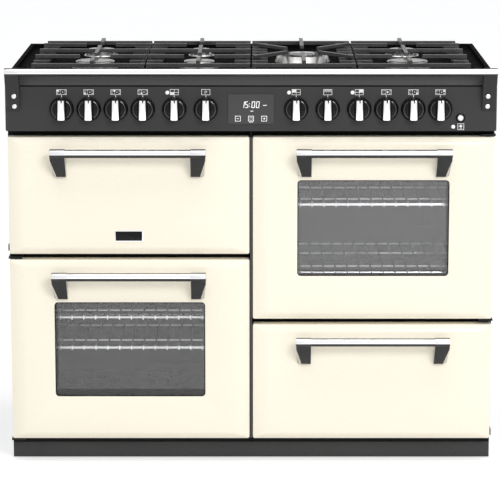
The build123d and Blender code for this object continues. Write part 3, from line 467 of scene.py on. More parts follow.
# Growth of the window's outline and depth, for the rim of the skin and for the black border on the glass
RIM_SECTION = [(0.8, 0.0), (0.2, 0.25), (0.0, 0.9), (0.0, SKIN)]
BORDER_SECTION = [(0.6, SKIN - 0.1), (-2.2, SKIN - 0.1), (-2.2, SKIN + 0.2), (0.6, SKIN + 0.2),
                  (0.6, SKIN - 0.1)]
WELD = 0.001    # points closer than this, in millimetres, become one
for door in DOORS:
    low, high = node_box("door_panel_" + door)
    middle_x, middle_z = (low.x + high.x) / 2, (low.z + high.z) / 2
    edge_y = low.y + DOOR_RAISE

    def door_ring(side, end, corner, y):
        """The door's outline, drawn in from its sides and ends, at a depth."""
        outline = rectangle(high.x - low.x - 2 * side, high.z - low.z - 2 * end, corner, middle_x, middle_z,
                            CORNER_STEPS)
        return [Vector((u, y, v)) for u, v in outline]

    def window_ring(growth, y):
        """The window's outline, grown on all sides, at a depth."""
        outline = rectangle(WINDOW_WIDTH + 2 * growth, WINDOW_HEIGHT + 2 * growth, WINDOW_CORNER + growth,
                            middle_x, high.z - WINDOW_DROP - WINDOW_HEIGHT / 2, CORNER_STEPS)
        return [Vector((u, y, v)) for u, v in outline]

    outer = [door_ring(0, 0, DOOR_CORNER, high.y), door_ring(0, 0, DOOR_CORNER, edge_y + EDGE_ROUND)]
    for step in range(BEVEL_STEPS + 1):
        share = FIRST_SHARE + (1 - FIRST_SHARE) * step / BEVEL_STEPS
        outer.append(door_ring(share * SIDE_BEVEL, share * END_BEVEL, DOOR_CORNER + CORNER_GROWTH * share,
                               low.y + DOOR_RAISE * (1 - share) ** BEVEL_CURVE))
    inner = [door_ring(SIDE_BEVEL, END_BEVEL, DOOR_CORNER, low.y + SKIN),
             door_ring(SKIN, SKIN, DOOR_CORNER - SKIN, edge_y + SKIN),
             door_ring(SKIN, SKIN, DOOR_CORNER - SKIN, high.y), outer[0]]
    bm = bmesh.new()
    if frame["nodes"].get("door_glass_" + door):
        rim = [window_ring(growth, low.y + depth) for growth, depth in RIM_SECTION]
        add_rings(bm, outer + rim + inner)
        border = bmesh.new()
        add_rings(border, [window_ring(growth, low.y + depth) for growth, depth in BORDER_SECTION])
        bmesh.ops.remove_doubles(border, verts=border.verts, dist=WELD)
        piece(f"door_{door}_border", border, "door_" + door, [MATERIALS["knob_black"]])
    else:
        bm.faces.new(add_rings(bm, outer)[-1])
        bm.faces.new(add_rings(bm, inner)[0])
    bmesh.ops.remove_doubles(bm, verts=bm.verts, dist=WELD)
    piece(f"door_{door}_skin", bm, "door_" + door, [MATERIALS["cream_enamel"]],
          ["door_panel_" + door])

# Grey trim on the front of the hob and on the strip between the doors
TRIM_SINK, TRIM_RAISE = -0.2, 0.8
LIP_HALF, LIP_BOTTOM, LIP_TOP = 518.0, 873.6, 897.5
PILLAR_WIDTH, PILLAR_Y, PILLAR_LOW, PILLAR_HIGH = 3.8, -264.0, 57.5, 756.0
trim = bmesh.new()
tray_low, tray_high = node_box("hob_tray")
add_prism(trim, rectangle(2 * LIP_HALF, LIP_TOP - LIP_BOTTOM, 0.6, 0, (LIP_TOP + LIP_BOTTOM) / 2),
          outward(0, tray_low.y, 0), TRIM_SINK, TRIM_RAISE, edge=0.5)
add_prism(trim, rectangle(PILLAR_WIDTH, PILLAR_HIGH - PILLAR_LOW, 0.4, 0, (PILLAR_HIGH + PILLAR_LOW) / 2),
          outward(0, PILLAR_Y, 0), TRIM_SINK, TRIM_RAISE, edge=0.3)
piece("front_trim", trim, ROOT, [TRIM_GREY])


# Knobs
# Width, height, corner radius and reach of the grip's outlines, from its root to its front
GRIP_STAGES = [(25.0, 47.0, 4.0, 4.5), (22.5, 46.5, 3.5, 14.0), (20.0, 46.0, 3.0, 22.8),
               (18.4, 45.2, 2.4, 24.6)]
# The bright strip on the grip, with a slot at its top
GRIP_STRIP = [(-6.6, 22.0), (-7.8, -21.6), (-4.0, -22.6), (4.0, -22.6), (7.8, -21.6), (6.6, 22.0),
              (2.2, 22.0), (2.2, 15.5), (-0.2, 15.5), (-0.2, 22.0)]
GRIP_STRIP_LOW, GRIP_STRIP_HIGH = 24.0, 25.8
POINTER = [(-4.2, 24.4), (4.2, 24.4), (2.8, 26.4), (-2.8, 26.4)]
POINTER_LOW, POINTER_HIGH = 3.0, 5.6
KNOB_PROFILE = [(0, 0), (26.6, 0), (27.4, 0.8), (27.4, 3.0), (26.4, 4.6), (24.9, 5.4), (24.3, 4.7),
                (23.6, 4.7), (23.0, 5.4), (23.0, 10.2), (22.3, 11.6), (20.8, 12.2), (0, 12.5)]
EDGE_INNER, EDGE_OUTER, EDGE_REACH = 20.8, 23.0, 10.2
KNOB_NODES = sorted(name for name in frame["nodes"] if name.startswith("knob_"))
KNOB_MATERIALS = [MATERIALS["knob_black"], MATERIALS["chrome"], TRIM_GREY, KNOB_EDGE]
STRIP, MARK, EDGE = 1, 2, 3     # places in that list; the rest of a knob has the first


def add_grip(bm, place):
    """The raised bar across a knob: black flanks that draw in, and a bright strip on the front."""
    loops = add_rings(bm, [[place(u, v, reach) for u, v in rectangle(width, height, corner)]
                           for width, height, corner, reach in GRIP_STAGES])
    bm.faces.new(loops[0])
    bm.faces.new(loops[-1])
    add_prism(bm, GRIP_STRIP, place, GRIP_STRIP_LOW, GRIP_STRIP_HIGH, edge=0.5, index=STRIP)
    add_prism(bm, POINTER, place, POINTER_LOW, POINTER_HIGH, edge=0.2, index=MARK)


knob_columns = {}
for node_name in KNOB_NODES:
    low, high = node_box(node_name)
    centre_x, centre_z = (low.x + high.x) / 2, (low.z + high.z) / 2
    knob_columns[node_name] = centre_x
    bm = bmesh.new()
    place = outward(centre_x, high.y, centre_z)
    add_lathe(bm, KNOB_PROFILE, place, segments=64)
    for face in bm.faces:
        spot = face.calc_center_median()
        away = math.hypot(spot.x - centre_x, spot.z - centre_z)
        if EDGE_INNER < away < EDGE_OUTER and high.y - spot.y > EDGE_REACH:
            face.material_index = EDGE
    add_grip(bm, place)
    piece(node_name + "_shell", bm, node_name, KNOB_MATERIALS, [node_name])


# Control panel print
FASCIA_Y = -274.0
PRINT_SINK, PRINT_RAISE = -0.1, 0.25
OVER, OVER_ALL = 0.05, 0.1      # lifts a mark over those that it crosses


def print_on(bm, outline, height=0.0, y=FASCIA_Y):
    """A thin printed mark in the shape of an outline of (x, z)."""
    add_prism(bm, outline, outward(0, y, 0), PRINT_SINK + height, PRINT_RAISE + height)


def frame_lines(bm, x, z, width, height, line, y=FASCIA_Y):
    """Four strips that make a printed frame."""
    for side in (-1, 1):
        print_on(bm, rectangle(width, line, 0, x, z + side * (height - line) / 2), y=y)
        print_on(bm, rectangle(line, height - 2 * line, 0, x + side * (width - line) / 2, z), y=y)


ICON_Z, ICON_LINE = 859.0, 1.0
TICK_WIDTH, TICK_TOP, TICK_BOTTOM = 1.6, 852.0, 845.5
GAS_ICON, OVEN_ICON = (22.5, 12.0), (19.5, 13.0)
DOT_X, DOT_Z, DOT, CHOSEN_DOT = 5.3, 2.7, 1.1, 2.3
CELL_WIDTH, CELL_HEIGHT, CELL_X, CELL_Z = 9.0, 6.0, 4.6, 3.0
SPLIT_HEIGHT, SPLIT_WIDTH, SPLIT_DROP = 11.0, 17.5, 0.6
# For each gas knob, the burner that its icon marks: column and row among the dots
GAS_MARKS = {"knob_gas_1": (-1.5, 1), "knob_gas_2": (-1.5, -1), "knob_gas_3": (-0.5, 1),
             "knob_gas_4": (-0.5, -1), "knob_gas_5": (0.5, 0), "knob_gas_6": (1.5, -1),
             "knob_gas_7": (1.5, 1)}
# For each oven knob, the filled cell of its icon: to the left or right, above or below
OVEN_MARKS = {"knob_oven_bottom_left": (-1, -1), "knob_oven_top_left": (-1, 1), "knob_oven_top_right": (1, 1)}


def gas_icon(bm, x, chosen):
    """A frame with a dot for each burner and a larger one for the knob's own."""
    frame_lines(bm, x, ICON_Z, *GAS_ICON, ICON_LINE)
    for column, row in GAS_MARKS.values():
        radius = CHOSEN_DOT if (column, row) == chosen else DOT
        print_on(bm, circle(radius, x + column * DOT_X, ICON_Z + row * DOT_Z, steps=16))


def oven_icon(bm, x, column, row):
    """A frame split into four cells, one of them filled."""
    print_on(bm, rectangle(ICON_LINE, SPLIT_HEIGHT, 0, x, ICON_Z))
    print_on(bm, rectangle(SPLIT_WIDTH, ICON_LINE, 0, x, ICON_Z - SPLIT_DROP), OVER)
    print_on(bm, rectangle(CELL_WIDTH, CELL_HEIGHT, 0, x + column * CELL_X, ICON_Z + row * CELL_Z), OVER_ALL)


def grill_icon(bm, x):
    """A line with flames of two heights under it."""
    for step in range(-3, 4):
        print_on(bm, rectangle(1.1, 3.2, 0, x + step * 2.3, ICON_Z + 2.4 - (step % 2) * 1.2))
    print_on(bm, rectangle(15.5, 0.9, 0, x, ICON_Z + 4.3))


def swirl_icon(bm, x):
    """Dots that wind outwards around a middle one."""
    for step in range(10):
        turn = 2 * math.pi * step / 12
        swirl = 2.4 + 0.17 * step
        print_on(bm, circle(0.65, x + swirl * math.cos(turn), ICON_Z + swirl * math.sin(turn), steps=8))
    print_on(bm, circle(1.2, x, ICON_Z, steps=12))


markings = bmesh.new()
for node_name, x in knob_columns.items():
    print_on(markings, rectangle(TICK_WIDTH, TICK_TOP - TICK_BOTTOM, 0, x, (TICK_TOP + TICK_BOTTOM) / 2))
    if node_name in GAS_MARKS:
        gas_icon(markings, x, GAS_MARKS[node_name])
        continue
    frame_lines(markings, x, ICON_Z, *OVEN_ICON, ICON_LINE)
    if node_name in OVEN_MARKS:
        oven_icon(markings, x, *OVEN_MARKS[node_name])
    elif node_name == "knob_grill":
        grill_icon(markings, x)
    else:
        swirl_icon(markings, x)
# The lamp sign under the button: a bulb with rays in a frame
BUTTON_X, BUTTON_Z = 469.0, 801.0
SIGN_X, SIGN_Z, SIGN_SIZE = BUTTON_X + 1, BUTTON_Z - 20, 14.5
BULB, RAYS, RAY, RAY_REACH = 3.0, 6, 0.9, 5.0
frame_lines(markings, SIGN_X, SIGN_Z, SIGN_SIZE, SIGN_SIZE, ICON_LINE)
print_on(markings, circle(BULB, SIGN_X, SIGN_Z + 1, steps=16))
for step in range(RAYS):
    turn = math.pi * step / (RAYS - 1)
    ray_x, ray_z = SIGN_X + RAY_REACH * math.cos(turn), SIGN_Z + 0.5 + RAY_REACH * math.sin(turn)
    print_on(markings, rectangle(RAY, RAY, 0, ray_x, ray_z))
print_on(markings, rectangle(5.0, 1.0, 0, SIGN_X, SIGN_Z - 4.5))
# The markings carry the painted glow of the print
piece("panel_markings", markings, ROOT, [PRINT_PAINTED_GLOW])

LAMP_PROFILE = [(0, -0.5), (4.3, -0.5), (4.3, 0.5), (3.6, 1.2), (0, 1.5)]
LAMP_PLACES = ((-187.0, 858.0), (85.0, 858.0), (227.0, 858.0), (453.0, 781.0))
lamps = bmesh.new()
for x, z in LAMP_PLACES:
    add_lathe(lamps, LAMP_PROFILE, outward(x, FASCIA_Y, z), segments=24)
piece("indicator_lamps", lamps, ROOT, [LIT_WHITE])

# Clock: seven-segment digits, touch keys and small bars
clock_low, clock_high = node_box("clock_module")
CLOCK_Y = clock_low.y
CLOCK_Z = (clock_low.z + clock_high.z) / 2
SEGMENTS = {"0": "abcdef", "1": "bc", "5": "afgcd"}
SLANT, SEGMENT_GAP, SEGMENT_TIP = 0.12, 0.2, 0.4
DIGIT_PLACES = (("1", -23.0), ("5", -14.5), ("0", 0.5), ("0", 10.5))
DIGIT_WIDTH, DIGIT_HEIGHT, DIGIT_LINE, DIGIT_Z = 7.6, 15.0, 1.7, CLOCK_Z + 2.5
COLON_X, COLON_HEIGHTS, COLON_DOT = -3.6, (CLOCK_Z + 6.0, CLOCK_Z + 12.0), 1.0
KEY_X, KEY_Z, KEY_SIZE, KEY_LINE = 29.5, CLOCK_Z - 21.5, 12.5, 1.1
PLUS_LENGTH, PLUS_LINE = 5.0, 1.2
DIAL_DOTS, DIAL_RADIUS, DIAL_DOT = 12, 3.6, 0.6


def add_digit(bm, digit, x, z, width, height, line):
    """One slanted seven-segment digit with its lower left corner at (x, z)."""
    right, upper = width - line, height / 2 + SEGMENT_GAP
    lower, top = height / 2 - SEGMENT_GAP, height - SEGMENT_TIP
    bars = {
        "a": (line, height - line, right, height),
        "b": (right, upper, width, top),
        "c": (right, SEGMENT_TIP, width, lower),
        "d": (line, 0, right, line),
        "e": (0, SEGMENT_TIP, line, lower),
        "f": (0, upper, line, top),
        "g": (line, (height - line) / 2, right, (height + line) / 2),
    }
    for key in SEGMENTS[digit]:
        u0, v0, u1, v1 = bars[key]
        corners = [(u0, v0), (u1, v0), (u1, v1), (u0, v1)]
        print_on(bm, [(x + u + SLANT * v, z + v) for u, v in corners], y=CLOCK_Y)


digits = bmesh.new()
for digit, x in DIGIT_PLACES:
    add_digit(digits, digit, x, DIGIT_Z, DIGIT_WIDTH, DIGIT_HEIGHT, DIGIT_LINE)
for z in COLON_HEIGHTS:
    print_on(digits, circle(COLON_DOT, COLON_X, z, steps=12), y=CLOCK_Y)
print_on(digits, rectangle(8.5, 1.5, 0, 31.0, CLOCK_Z + 8.5), y=CLOCK_Y)
print_on(digits, rectangle(6.5, 1.4, 0, 2.0, CLOCK_Z - 4.5), y=CLOCK_Y)
# Keys: minus, a small dial and plus
for x in (-KEY_X, 0.0, KEY_X):
    frame_lines(digits, x, KEY_Z, KEY_SIZE, KEY_SIZE, KEY_LINE, y=CLOCK_Y)
for x in (-KEY_X, KEY_X):
    print_on(digits, rectangle(PLUS_LENGTH, PLUS_LINE, 0, x, KEY_Z), y=CLOCK_Y)
print_on(digits, rectangle(PLUS_LINE, PLUS_LENGTH, 0, KEY_X, KEY_Z), OVER, y=CLOCK_Y)
for step in range(DIAL_DOTS):
    turn = 2 * math.pi * step / DIAL_DOTS
    dial_x, dial_z = DIAL_RADIUS * math.cos(turn), KEY_Z + DIAL_RADIUS * math.sin(turn)
    print_on(digits, circle(DIAL_DOT, dial_x, dial_z, steps=8), y=CLOCK_Y)
print_on(digits, rectangle(0.8, 3.2, 0, 0, KEY_Z + 1.3), y=CLOCK_Y)
print_on(digits, rectangle(8.0, 0.8, 0, 0, KEY_Z - 8.3), y=CLOCK_Y)
piece("clock_digits", digits, ROOT, [LIT_WHITE])

# Light button: a black bezel on the panel and a bright dome on the button
BEZEL_PROFILE = [(6.6, -1.0), (10.6, -1.0), (10.6, 1.6), (9.8, 2.6), (8.6, 2.9), (7.2, 2.2), (6.6, 1.0),
                 (6.6, -1.0)]
bezel = bmesh.new()
add_lathe(bezel, BEZEL_PROFILE, outward(BUTTON_X, FASCIA_Y, BUTTON_Z), segments=40)
piece("button_bezel", bezel, ROOT, [MATERIALS["knob_black"]])
dome = bmesh.new()
button_low, button_high = node_box("light_button")
reach = button_high.y - button_low.y
dome_profile = [(0, 0), (6.4, 0), (6.4, reach - 2.2), (5.9, reach - 1.2), (4.6, reach - 0.4), (2.5, reach),
                (0, reach)]
add_lathe(dome, dome_profile, outward(BUTTON_X, button_high.y, BUTTON_Z), segments=32)
piece("light_button_dome", dome, "light_button", [MATERIALS["button_white"]],
      ["light_button"])


# Door handles and hob rail
BAR_MATERIALS = [MATERIALS["chrome"], DARK_METAL, LEG_SIDE, UNDERSIDE_DARK_REFLECTION, SATIN_METAL, CREST_DARK_REFLECTION]
BRIGHT, LEG_FRONT, LEG_FLANK, PAINTED_UNDERSIDE, SATIN, CREST = range(len(BAR_MATERIALS))
# Below the underside share a bar is painted dark and above the crest share painted grey, as painted
# reflections
HANDLE_UNDERSIDE, RAIL_UNDERSIDE, CREST_HEIGHT = 0.2, 0.32, 0.87    # heights in shares of the bar's radius
BAR_SEGMENTS = 40
BAR_OVERLAP = 4.0       # how far a bar goes into its caps
LEG_REACH, LEG_TOP, LEG_CROWN = 0.62, 0.75, 0.6     # from the bar's middle, in shares of its radius
KNEE, WALL_SHAVE = 0.16, 0.35
LEG_PLAY, LEG_ROUND = 0.05, 0.5
FACING, SQUARE, DOWNWARD = -0.3, 0.1, -0.9      # limits on the normals of a leg's dark faces


def shade_strips(bm, before, z, radius, underside):
    """Paints the lowest strip of a round bar dark and its crest grey: painted reflections of dark
    surroundings, not a finish of the metal.
    """
    for face in bm.faces:
        if face not in before:
            height = (face.calc_center_median().z - z) / radius
            if height < -underside:
                face.material_index = PAINTED_UNDERSIDE
            elif height > CREST_HEIGHT:
                face.material_index = CREST


def add_bar(bm, x0, x1, y, z, radius, underside):
    before = set(bm.faces)
    profile = [(0, 0), (radius, 0), (radius, x1 - x0), (0, x1 - x0)]
    add_lathe(bm, profile, sideways(x0, y, z), BAR_SEGMENTS, BRIGHT)
    shade_strips(bm, before, z, radius, underside)


def add_cap(bm, x0, x1, y, z, radius, underside):
    length = x1 - x0
    before = set(bm.faces)
    profile = [(0, 0), (radius - 1.2, 0), (radius - 0.3, 0.4), (radius, 1.2), (radius, length - 0.8),
               (radius - 0.6, length), (0, length)]
    add_lathe(bm, profile, sideways(x0, y, z), BAR_SEGMENTS, SATIN)
    shade_strips(bm, before, z, radius, underside)


def add_leg(bm, x_end, inward, length, y, z, radius, wall_y, foot_z, wall_top, toe, shave):
    """The wedge under a bar's cap: its dark front leans back to the wall, and the outer corner of its
    foot is faceted."""
    front_y, rear_y = y - LEG_REACH * radius, y + LEG_REACH * radius
    top_z, crown_z = z - LEG_TOP * radius, z + LEG_CROWN * radius
    toe_y = wall_y - toe
    knee_y, knee_z = front_y + KNEE * (toe_y - front_y), top_z + KNEE * (foot_z - top_z)

    def along(u):
        return x_end + inward * (u + LEG_PLAY)

    points = [
        (along(0), front_y, top_z), (along(0), knee_y, knee_z), (along(shave), toe_y, foot_z),
        (along(length), toe_y, foot_z), (along(length), front_y, top_z),
        (along(WALL_SHAVE * shave), wall_y, foot_z), (along(length), wall_y, foot_z),
        (along(0), wall_y, wall_top), (along(length), wall_y, wall_top),
        (along(0), rear_y, crown_z), (along(length), rear_y, crown_z),
    ]
    before = set(bm.faces)
    add_hull(bm, points, LEG_ROUND)
    for face in bm.faces:
        if face not in before:
            face.normal_update()
            faces_front = face.normal.y < FACING and abs(face.normal.x) < SQUARE
            dark = faces_front or face.normal.z < DOWNWARD
            face.material_index = LEG_FRONT if dark else LEG_FLANK


def add_handle(bm, low, high, bar, cap, cap_length, wall_top, toe, shave, underside):
    """A bar with a cap and a leg at each end, in the box from low to high. Gives back the bar's y and z."""
    y, z = low.y + cap, high.z - cap
    inset = cap_length - BAR_OVERLAP
    add_bar(bm, low.x + inset, high.x - inset, y, z, bar, underside)
    for x_end, inward in ((low.x, 1), (high.x, -1)):
        x_in = x_end + inward * cap_length
        add_cap(bm, min(x_end, x_in), max(x_end, x_in), y, z, cap, underside)
        add_leg(bm, x_end, inward, cap_length, y, z, cap, high.y, low.z, wall_top, toe, shave)
    return y, z


HANDLE_BAR, HANDLE_CAP, HANDLE_CAP_LENGTH, HANDLE_TOE, HANDLE_SHAVE = 9.4, 10.5, 34.5, 9.0, 12.5
HANDLE_WALL = 11.0      # the leg's top at the wall, under the bar's middle
for door in DOORS:
    node_name = "door_handle_" + door
    low, high = node_box(node_name)
    bm = bmesh.new()
    add_handle(bm, low, high, HANDLE_BAR, HANDLE_CAP, HANDLE_CAP_LENGTH, high.z - HANDLE_CAP - HANDLE_WALL,
               HANDLE_TOE, HANDLE_SHAVE, HANDLE_UNDERSIDE)
    piece(node_name + "_bar", bm, "door_" + door, BAR_MATERIALS, [node_name])

RAIL_BAR, RAIL_CAP, RAIL_CAP_LENGTH, RAIL_TOE, RAIL_SHAVE = 8.8, 9.2, 31.0, 3.0, 1.5
RAIL_WALL_TOP = 867.0
# The rail carries the same painted dark reflections on its underside and crest
RAIL_MATERIALS = BAR_MATERIALS[:LEG_FLANK] + [DARK_METAL] + BAR_MATERIALS[PAINTED_UNDERSIDE:]
low, high = node_box("hob_rail")
bm = bmesh.new()
rail_y, rail_z = add_handle(bm, low, high, RAIL_BAR, RAIL_CAP, RAIL_CAP_LENGTH, RAIL_WALL_TOP, RAIL_TOE,
                            RAIL_SHAVE, RAIL_UNDERSIDE)
piece("hob_rail_bar", bm, ROOT, RAIL_MATERIALS, ["hob_rail"])

# Screw heads on the rail brackets
RAIL_SCREW = [(0, -3.0), (5.5, -3.0), (5.5, 1.0), (4.8, 2.0), (3.0, 2.6), (2.2, 2.6), (2.0, 1.4), (0, 1.4)]
RAIL_SCREW_X, RAIL_SCREW_HEIGHTS = 528.5, (852.0, 828.0)
screws = bmesh.new()
top_y, top_z = rail_y - LEG_REACH * RAIL_CAP, rail_z - LEG_TOP * RAIL_CAP
foot_y = high.y - RAIL_TOE
for x in (-RAIL_SCREW_X, RAIL_SCREW_X):
    for z in RAIL_SCREW_HEIGHTS:
        y = top_y + (z - top_z) / (low.z - top_z) * (foot_y - top_y)
        add_lathe(screws, RAIL_SCREW, outward(x, y, z), segments=24)
piece("rail_screws", screws, ROOT, [SATIN_METAL])

# Badge plate on the upper left door, left bare
BADGE_X, BADGE_Z, BADGE_WIDTH, BADGE_HEIGHT, BADGE_RIM = -276.0, 532.0, 64.0, 25.5, 2.0
badge = bmesh.new()
on_door = outward(BADGE_X, node_box("door_panel_top_left")[0].y, BADGE_Z)
add_prism(badge, rectangle(BADGE_WIDTH, BADGE_HEIGHT, 1.5), on_door, -0.3, 2.0, edge=0.8, index=1)
add_prism(badge, rectangle(BADGE_WIDTH - 2 * BADGE_RIM, BADGE_HEIGHT - 2 * BADGE_RIM, 0.8), on_door, 1.6, 2.4,
          edge=0.3)
piece("badge_plate", badge, "door_top_left", [MATERIALS["knob_black"], MATERIALS["chrome"]])

# Burners
TRAY_FLOOR = 890.0
SECTION, ROW_PITCH, ROW_MIDDLE = 240.0, 115.0, 30.0
# Column, row, ring radius and cap radius of each burner; the one in the middle row is the wok burner
BURNERS = [(-1.5, 1, 41, 33), (-1.5, -1, 55, 45), (-0.5, 1, 31, 22.5), (-0.5, -1, 47, 35.5), (0.5, 0, 65, 30),
           (1.5, -1, 53, 47), (1.5, 1, 41, 31.5)]
BURNER_MATERIALS = [MATERIALS["burner_alloy"], CERAMIC, DARK_METAL]
ALLOY, WHITE, DARK = range(len(BURNER_MATERIALS))
SEAT, WOK_SEAT = 14.0, 18.0
WOK_WALL = [(48, 0), (64, 0), (65, 1), (65, 2.4), (64, 3.6), (59.5, 16), (58.6, 17.4), (57, 18), (54, 17.6),
            (51, 16), (48, 15.4), (48, 0)]
WOK_BED = [(0, 0), (49, 0), (49, 11), (33, 9), (0, 9)]
PORTS_PER_RADIUS, PORT_DEPTH = 0.55, 1.0
STEM_RADIUS, STEM_LENGTH = 17.5, 30.0
PIN_TURN, PIN_AWAY, PIN_RADIUS, TIP_RADIUS = math.radians(40), 3.2, 2.3, 0.9
for number, (column, row, ring, cap) in enumerate(BURNERS, 1):
    x, y = column * SECTION, ROW_MIDDLE + row * ROW_PITCH
    place = upright(x, y, TRAY_FLOOR)
    bm = bmesh.new()
    if row == 0:
        seat = WOK_SEAT
        add_lathe(bm, WOK_WALL, place, 96, ALLOY)
        add_lathe(bm, WOK_BED, place, 64, DARK)
    else:
        seat = SEAT
        rim = [(ring - 4, 0), (ring - 1, 0), (ring, 1), (ring, 2.6), (ring - 1.4, 4.8), (ring - 3, 5.4),
               (ring - 4, 4.6), (ring - 4, 0)]
        bed = [(0, 0), (ring - 3.6, 0), (ring - 3.6, 3.6), (cap + 1, 2.6), (0, 2.6)]
        add_lathe(bm, rim, place, 64, ALLOY)
        add_lathe(bm, bed, place, 64, DARK)
    crown = cap - 3.0
    ports = 4 * round(crown * PORTS_PER_RADIUS)
    tube = [(0, 2), (crown + 1.5, 2), (crown + 1.5, 4), (crown, 5.5), (crown, seat - 3),
            (crown + 0.8, seat - 1.8), (crown + 0.8, seat), (0, seat)]
    add_lathe(bm, tube, place, max(32, ports), ALLOY, notches=(3, 4), notch_depth=PORT_DEPTH)
    add_rod(bm, (x, y, TRAY_FLOOR - STEM_LENGTH), (x, y, TRAY_FLOOR), STEM_RADIUS, segments=24)
    # The spark pin in its ceramic, and the flame probe
    for turn, height, index in ((PIN_TURN, seat - 3, WHITE), (PIN_TURN + math.pi / 2, seat - 5, ALLOY)):
        away = cap + PIN_AWAY
        px, py, top = x + away * math.cos(turn), y + away * math.sin(turn), TRAY_FLOOR + height
        add_rod(bm, (px, py, TRAY_FLOOR), (px, py, top), PIN_RADIUS, 16, index)
        add_rod(bm, (px, py, top - 1), (px, py, top + 3), TIP_RADIUS, 10, ALLOY)
    piece(f"burner_base_{number}", bm, ROOT, BURNER_MATERIALS, ["burner_bases"],
          origin=(x, y, TRAY_FLOOR))
    bm = bmesh.new()
    cap_profile = [(0, 0), (cap - 1.4, 0), (cap - 0.3, 0.6), (cap, 1.4), (cap - 0.5, 2.6), (cap - 2.6, 3.8),
                   (cap * 0.7, 4.5), (cap * 0.35, 4.9), (0, 5)]
    add_lathe(bm, cap_profile, upright(x, y, TRAY_FLOOR + seat), segments=64)
    piece(f"burner_cap_{number}", bm, ROOT, [MATERIALS["burner_alloy"]], ["burner_caps"],
          origin=(x, y, TRAY_FLOOR))

# Oven racks: a flat front bar with the wires' ends bent down over it, round cross bars and round wires; the
# wires are chrome like the rest but painted near-black as shade
RACKS = [(-275.5, 255.1), (-275.5, 326.8), (275.5, 431.0), (275.5, 589.8), (-275.5, 586.4), (275.5, 154.9)]
RACK_MATERIALS = [MATERIALS["chrome"], SHADED_RACK_WIRE, RACK_BAR]
WIRE, BAR = 1, 2        # places in that list; the sides and the wires' ends have the first; the wires carry the painted shade
RACK_HALF, RACK_FRONT, RACK_BACK = 217.0, -210.0, 140.0
FRONT_HALF, FRONT_TAPER, FRONT_NOSE, FRONT_SLOPE = 174.0, 60.0, 0.8, 1.6
CROSS_BARS = (78.0, 232.0)
BAR_RADIUS, WIRE_RADIUS, WIRE_RISE = 2.5, 1.9, 1.2
WIRE_PITCH, WIRES_A_SIDE, WIRE_SETBACK = 27.3, 7, 0.6
END_WIDTH, END_HEIGHT, END_DEPTH = 2.8, 11.0, 2.5
# The front bar's section, with a pointed front
FRONT_SECTION = [(FRONT_NOSE - BAR_RADIUS, 0.5), (FRONT_SLOPE - BAR_RADIUS, -BAR_RADIUS),
                 (BAR_RADIUS, -BAR_RADIUS), (BAR_RADIUS, BAR_RADIUS), (FRONT_SLOPE - BAR_RADIUS, BAR_RADIUS)]
rack_bm = bmesh.new()
for middle, z in RACKS:
    level = z + BAR_RADIUS
    front_y, shoulder = RACK_FRONT + BAR_RADIUS, RACK_FRONT + FRONT_TAPER
    add_prism(rack_bm, FRONT_SECTION, sideways(middle - FRONT_HALF, front_y, level), 0, 2 * FRONT_HALF,
              index=BAR)
    for y in [RACK_FRONT + cross for cross in CROSS_BARS] + [RACK_BACK - BAR_RADIUS]:
        add_rod(rack_bm, (middle - RACK_HALF, y, level), (middle + RACK_HALF, y, level), BAR_RADIUS, 12, BAR)
    for side in (-1, 1):
        x, x_front = middle + side * (RACK_HALF - BAR_RADIUS), middle + side * (FRONT_HALF - BAR_RADIUS)
        add_rod(rack_bm, (x, shoulder, level), (x, RACK_BACK, level), BAR_RADIUS, 12)
        add_rod(rack_bm, (x, shoulder + 0.5, level), (x_front, front_y, level), BAR_RADIUS, 12)
    for wire in range(-WIRES_A_SIDE, WIRES_A_SIDE + 1):
        x = middle + wire * WIRE_PITCH
        reaches_front = abs(wire) * WIRE_PITCH < FRONT_HALF
        wire_front = RACK_FRONT + (WIRE_SETBACK if reaches_front else CROSS_BARS[0])
        top = level + BAR_RADIUS + WIRE_RISE
        add_rod(rack_bm, (x, wire_front, top), (x, RACK_BACK - 0.5, top), WIRE_RADIUS, 8, WIRE)
        if reaches_front:
            add_prism(rack_bm, rectangle(END_WIDTH, END_HEIGHT, 0.8, x, level), outward(0, front_y, 0),
                      BAR_RADIUS - END_DEPTH, BAR_RADIUS, edge=0.4)
piece("oven_racks_wire", rack_bm, ROOT, RACK_MATERIALS, ["oven_racks"])

# Rubber strips that close the slits between the hob tray and the side panels
SHEET, RUBBER_LIP, RUBBER_DEPTH, RUBBER_PLAY = 1.5, 1.6, 4.0, 0.1
strips = bmesh.new()
panel_low, panel_high = node_box("side_panels")
back_low, back_high = node_box("back_panel")
strip_in, strip_out = tray_high.x - RUBBER_LIP, panel_high.x - SHEET - RUBBER_PLAY
for start, end in ((panel_low.y, back_low.y), (back_low.y + SHEET, panel_high.y)):
    for side in (-1, 1):
        outline = rectangle(strip_out - strip_in, end - start - 2 * RUBBER_PLAY, 0.6,
                            side * (strip_in + strip_out) / 2, (start + end) / 2)
        add_prism(strips, outline, upright(0, 0, tray_low.z), -RUBBER_DEPTH, -RUBBER_PLAY, edge=0.4)
piece("tray_strips", strips, ROOT, [MATERIALS["seal_rubber"]])

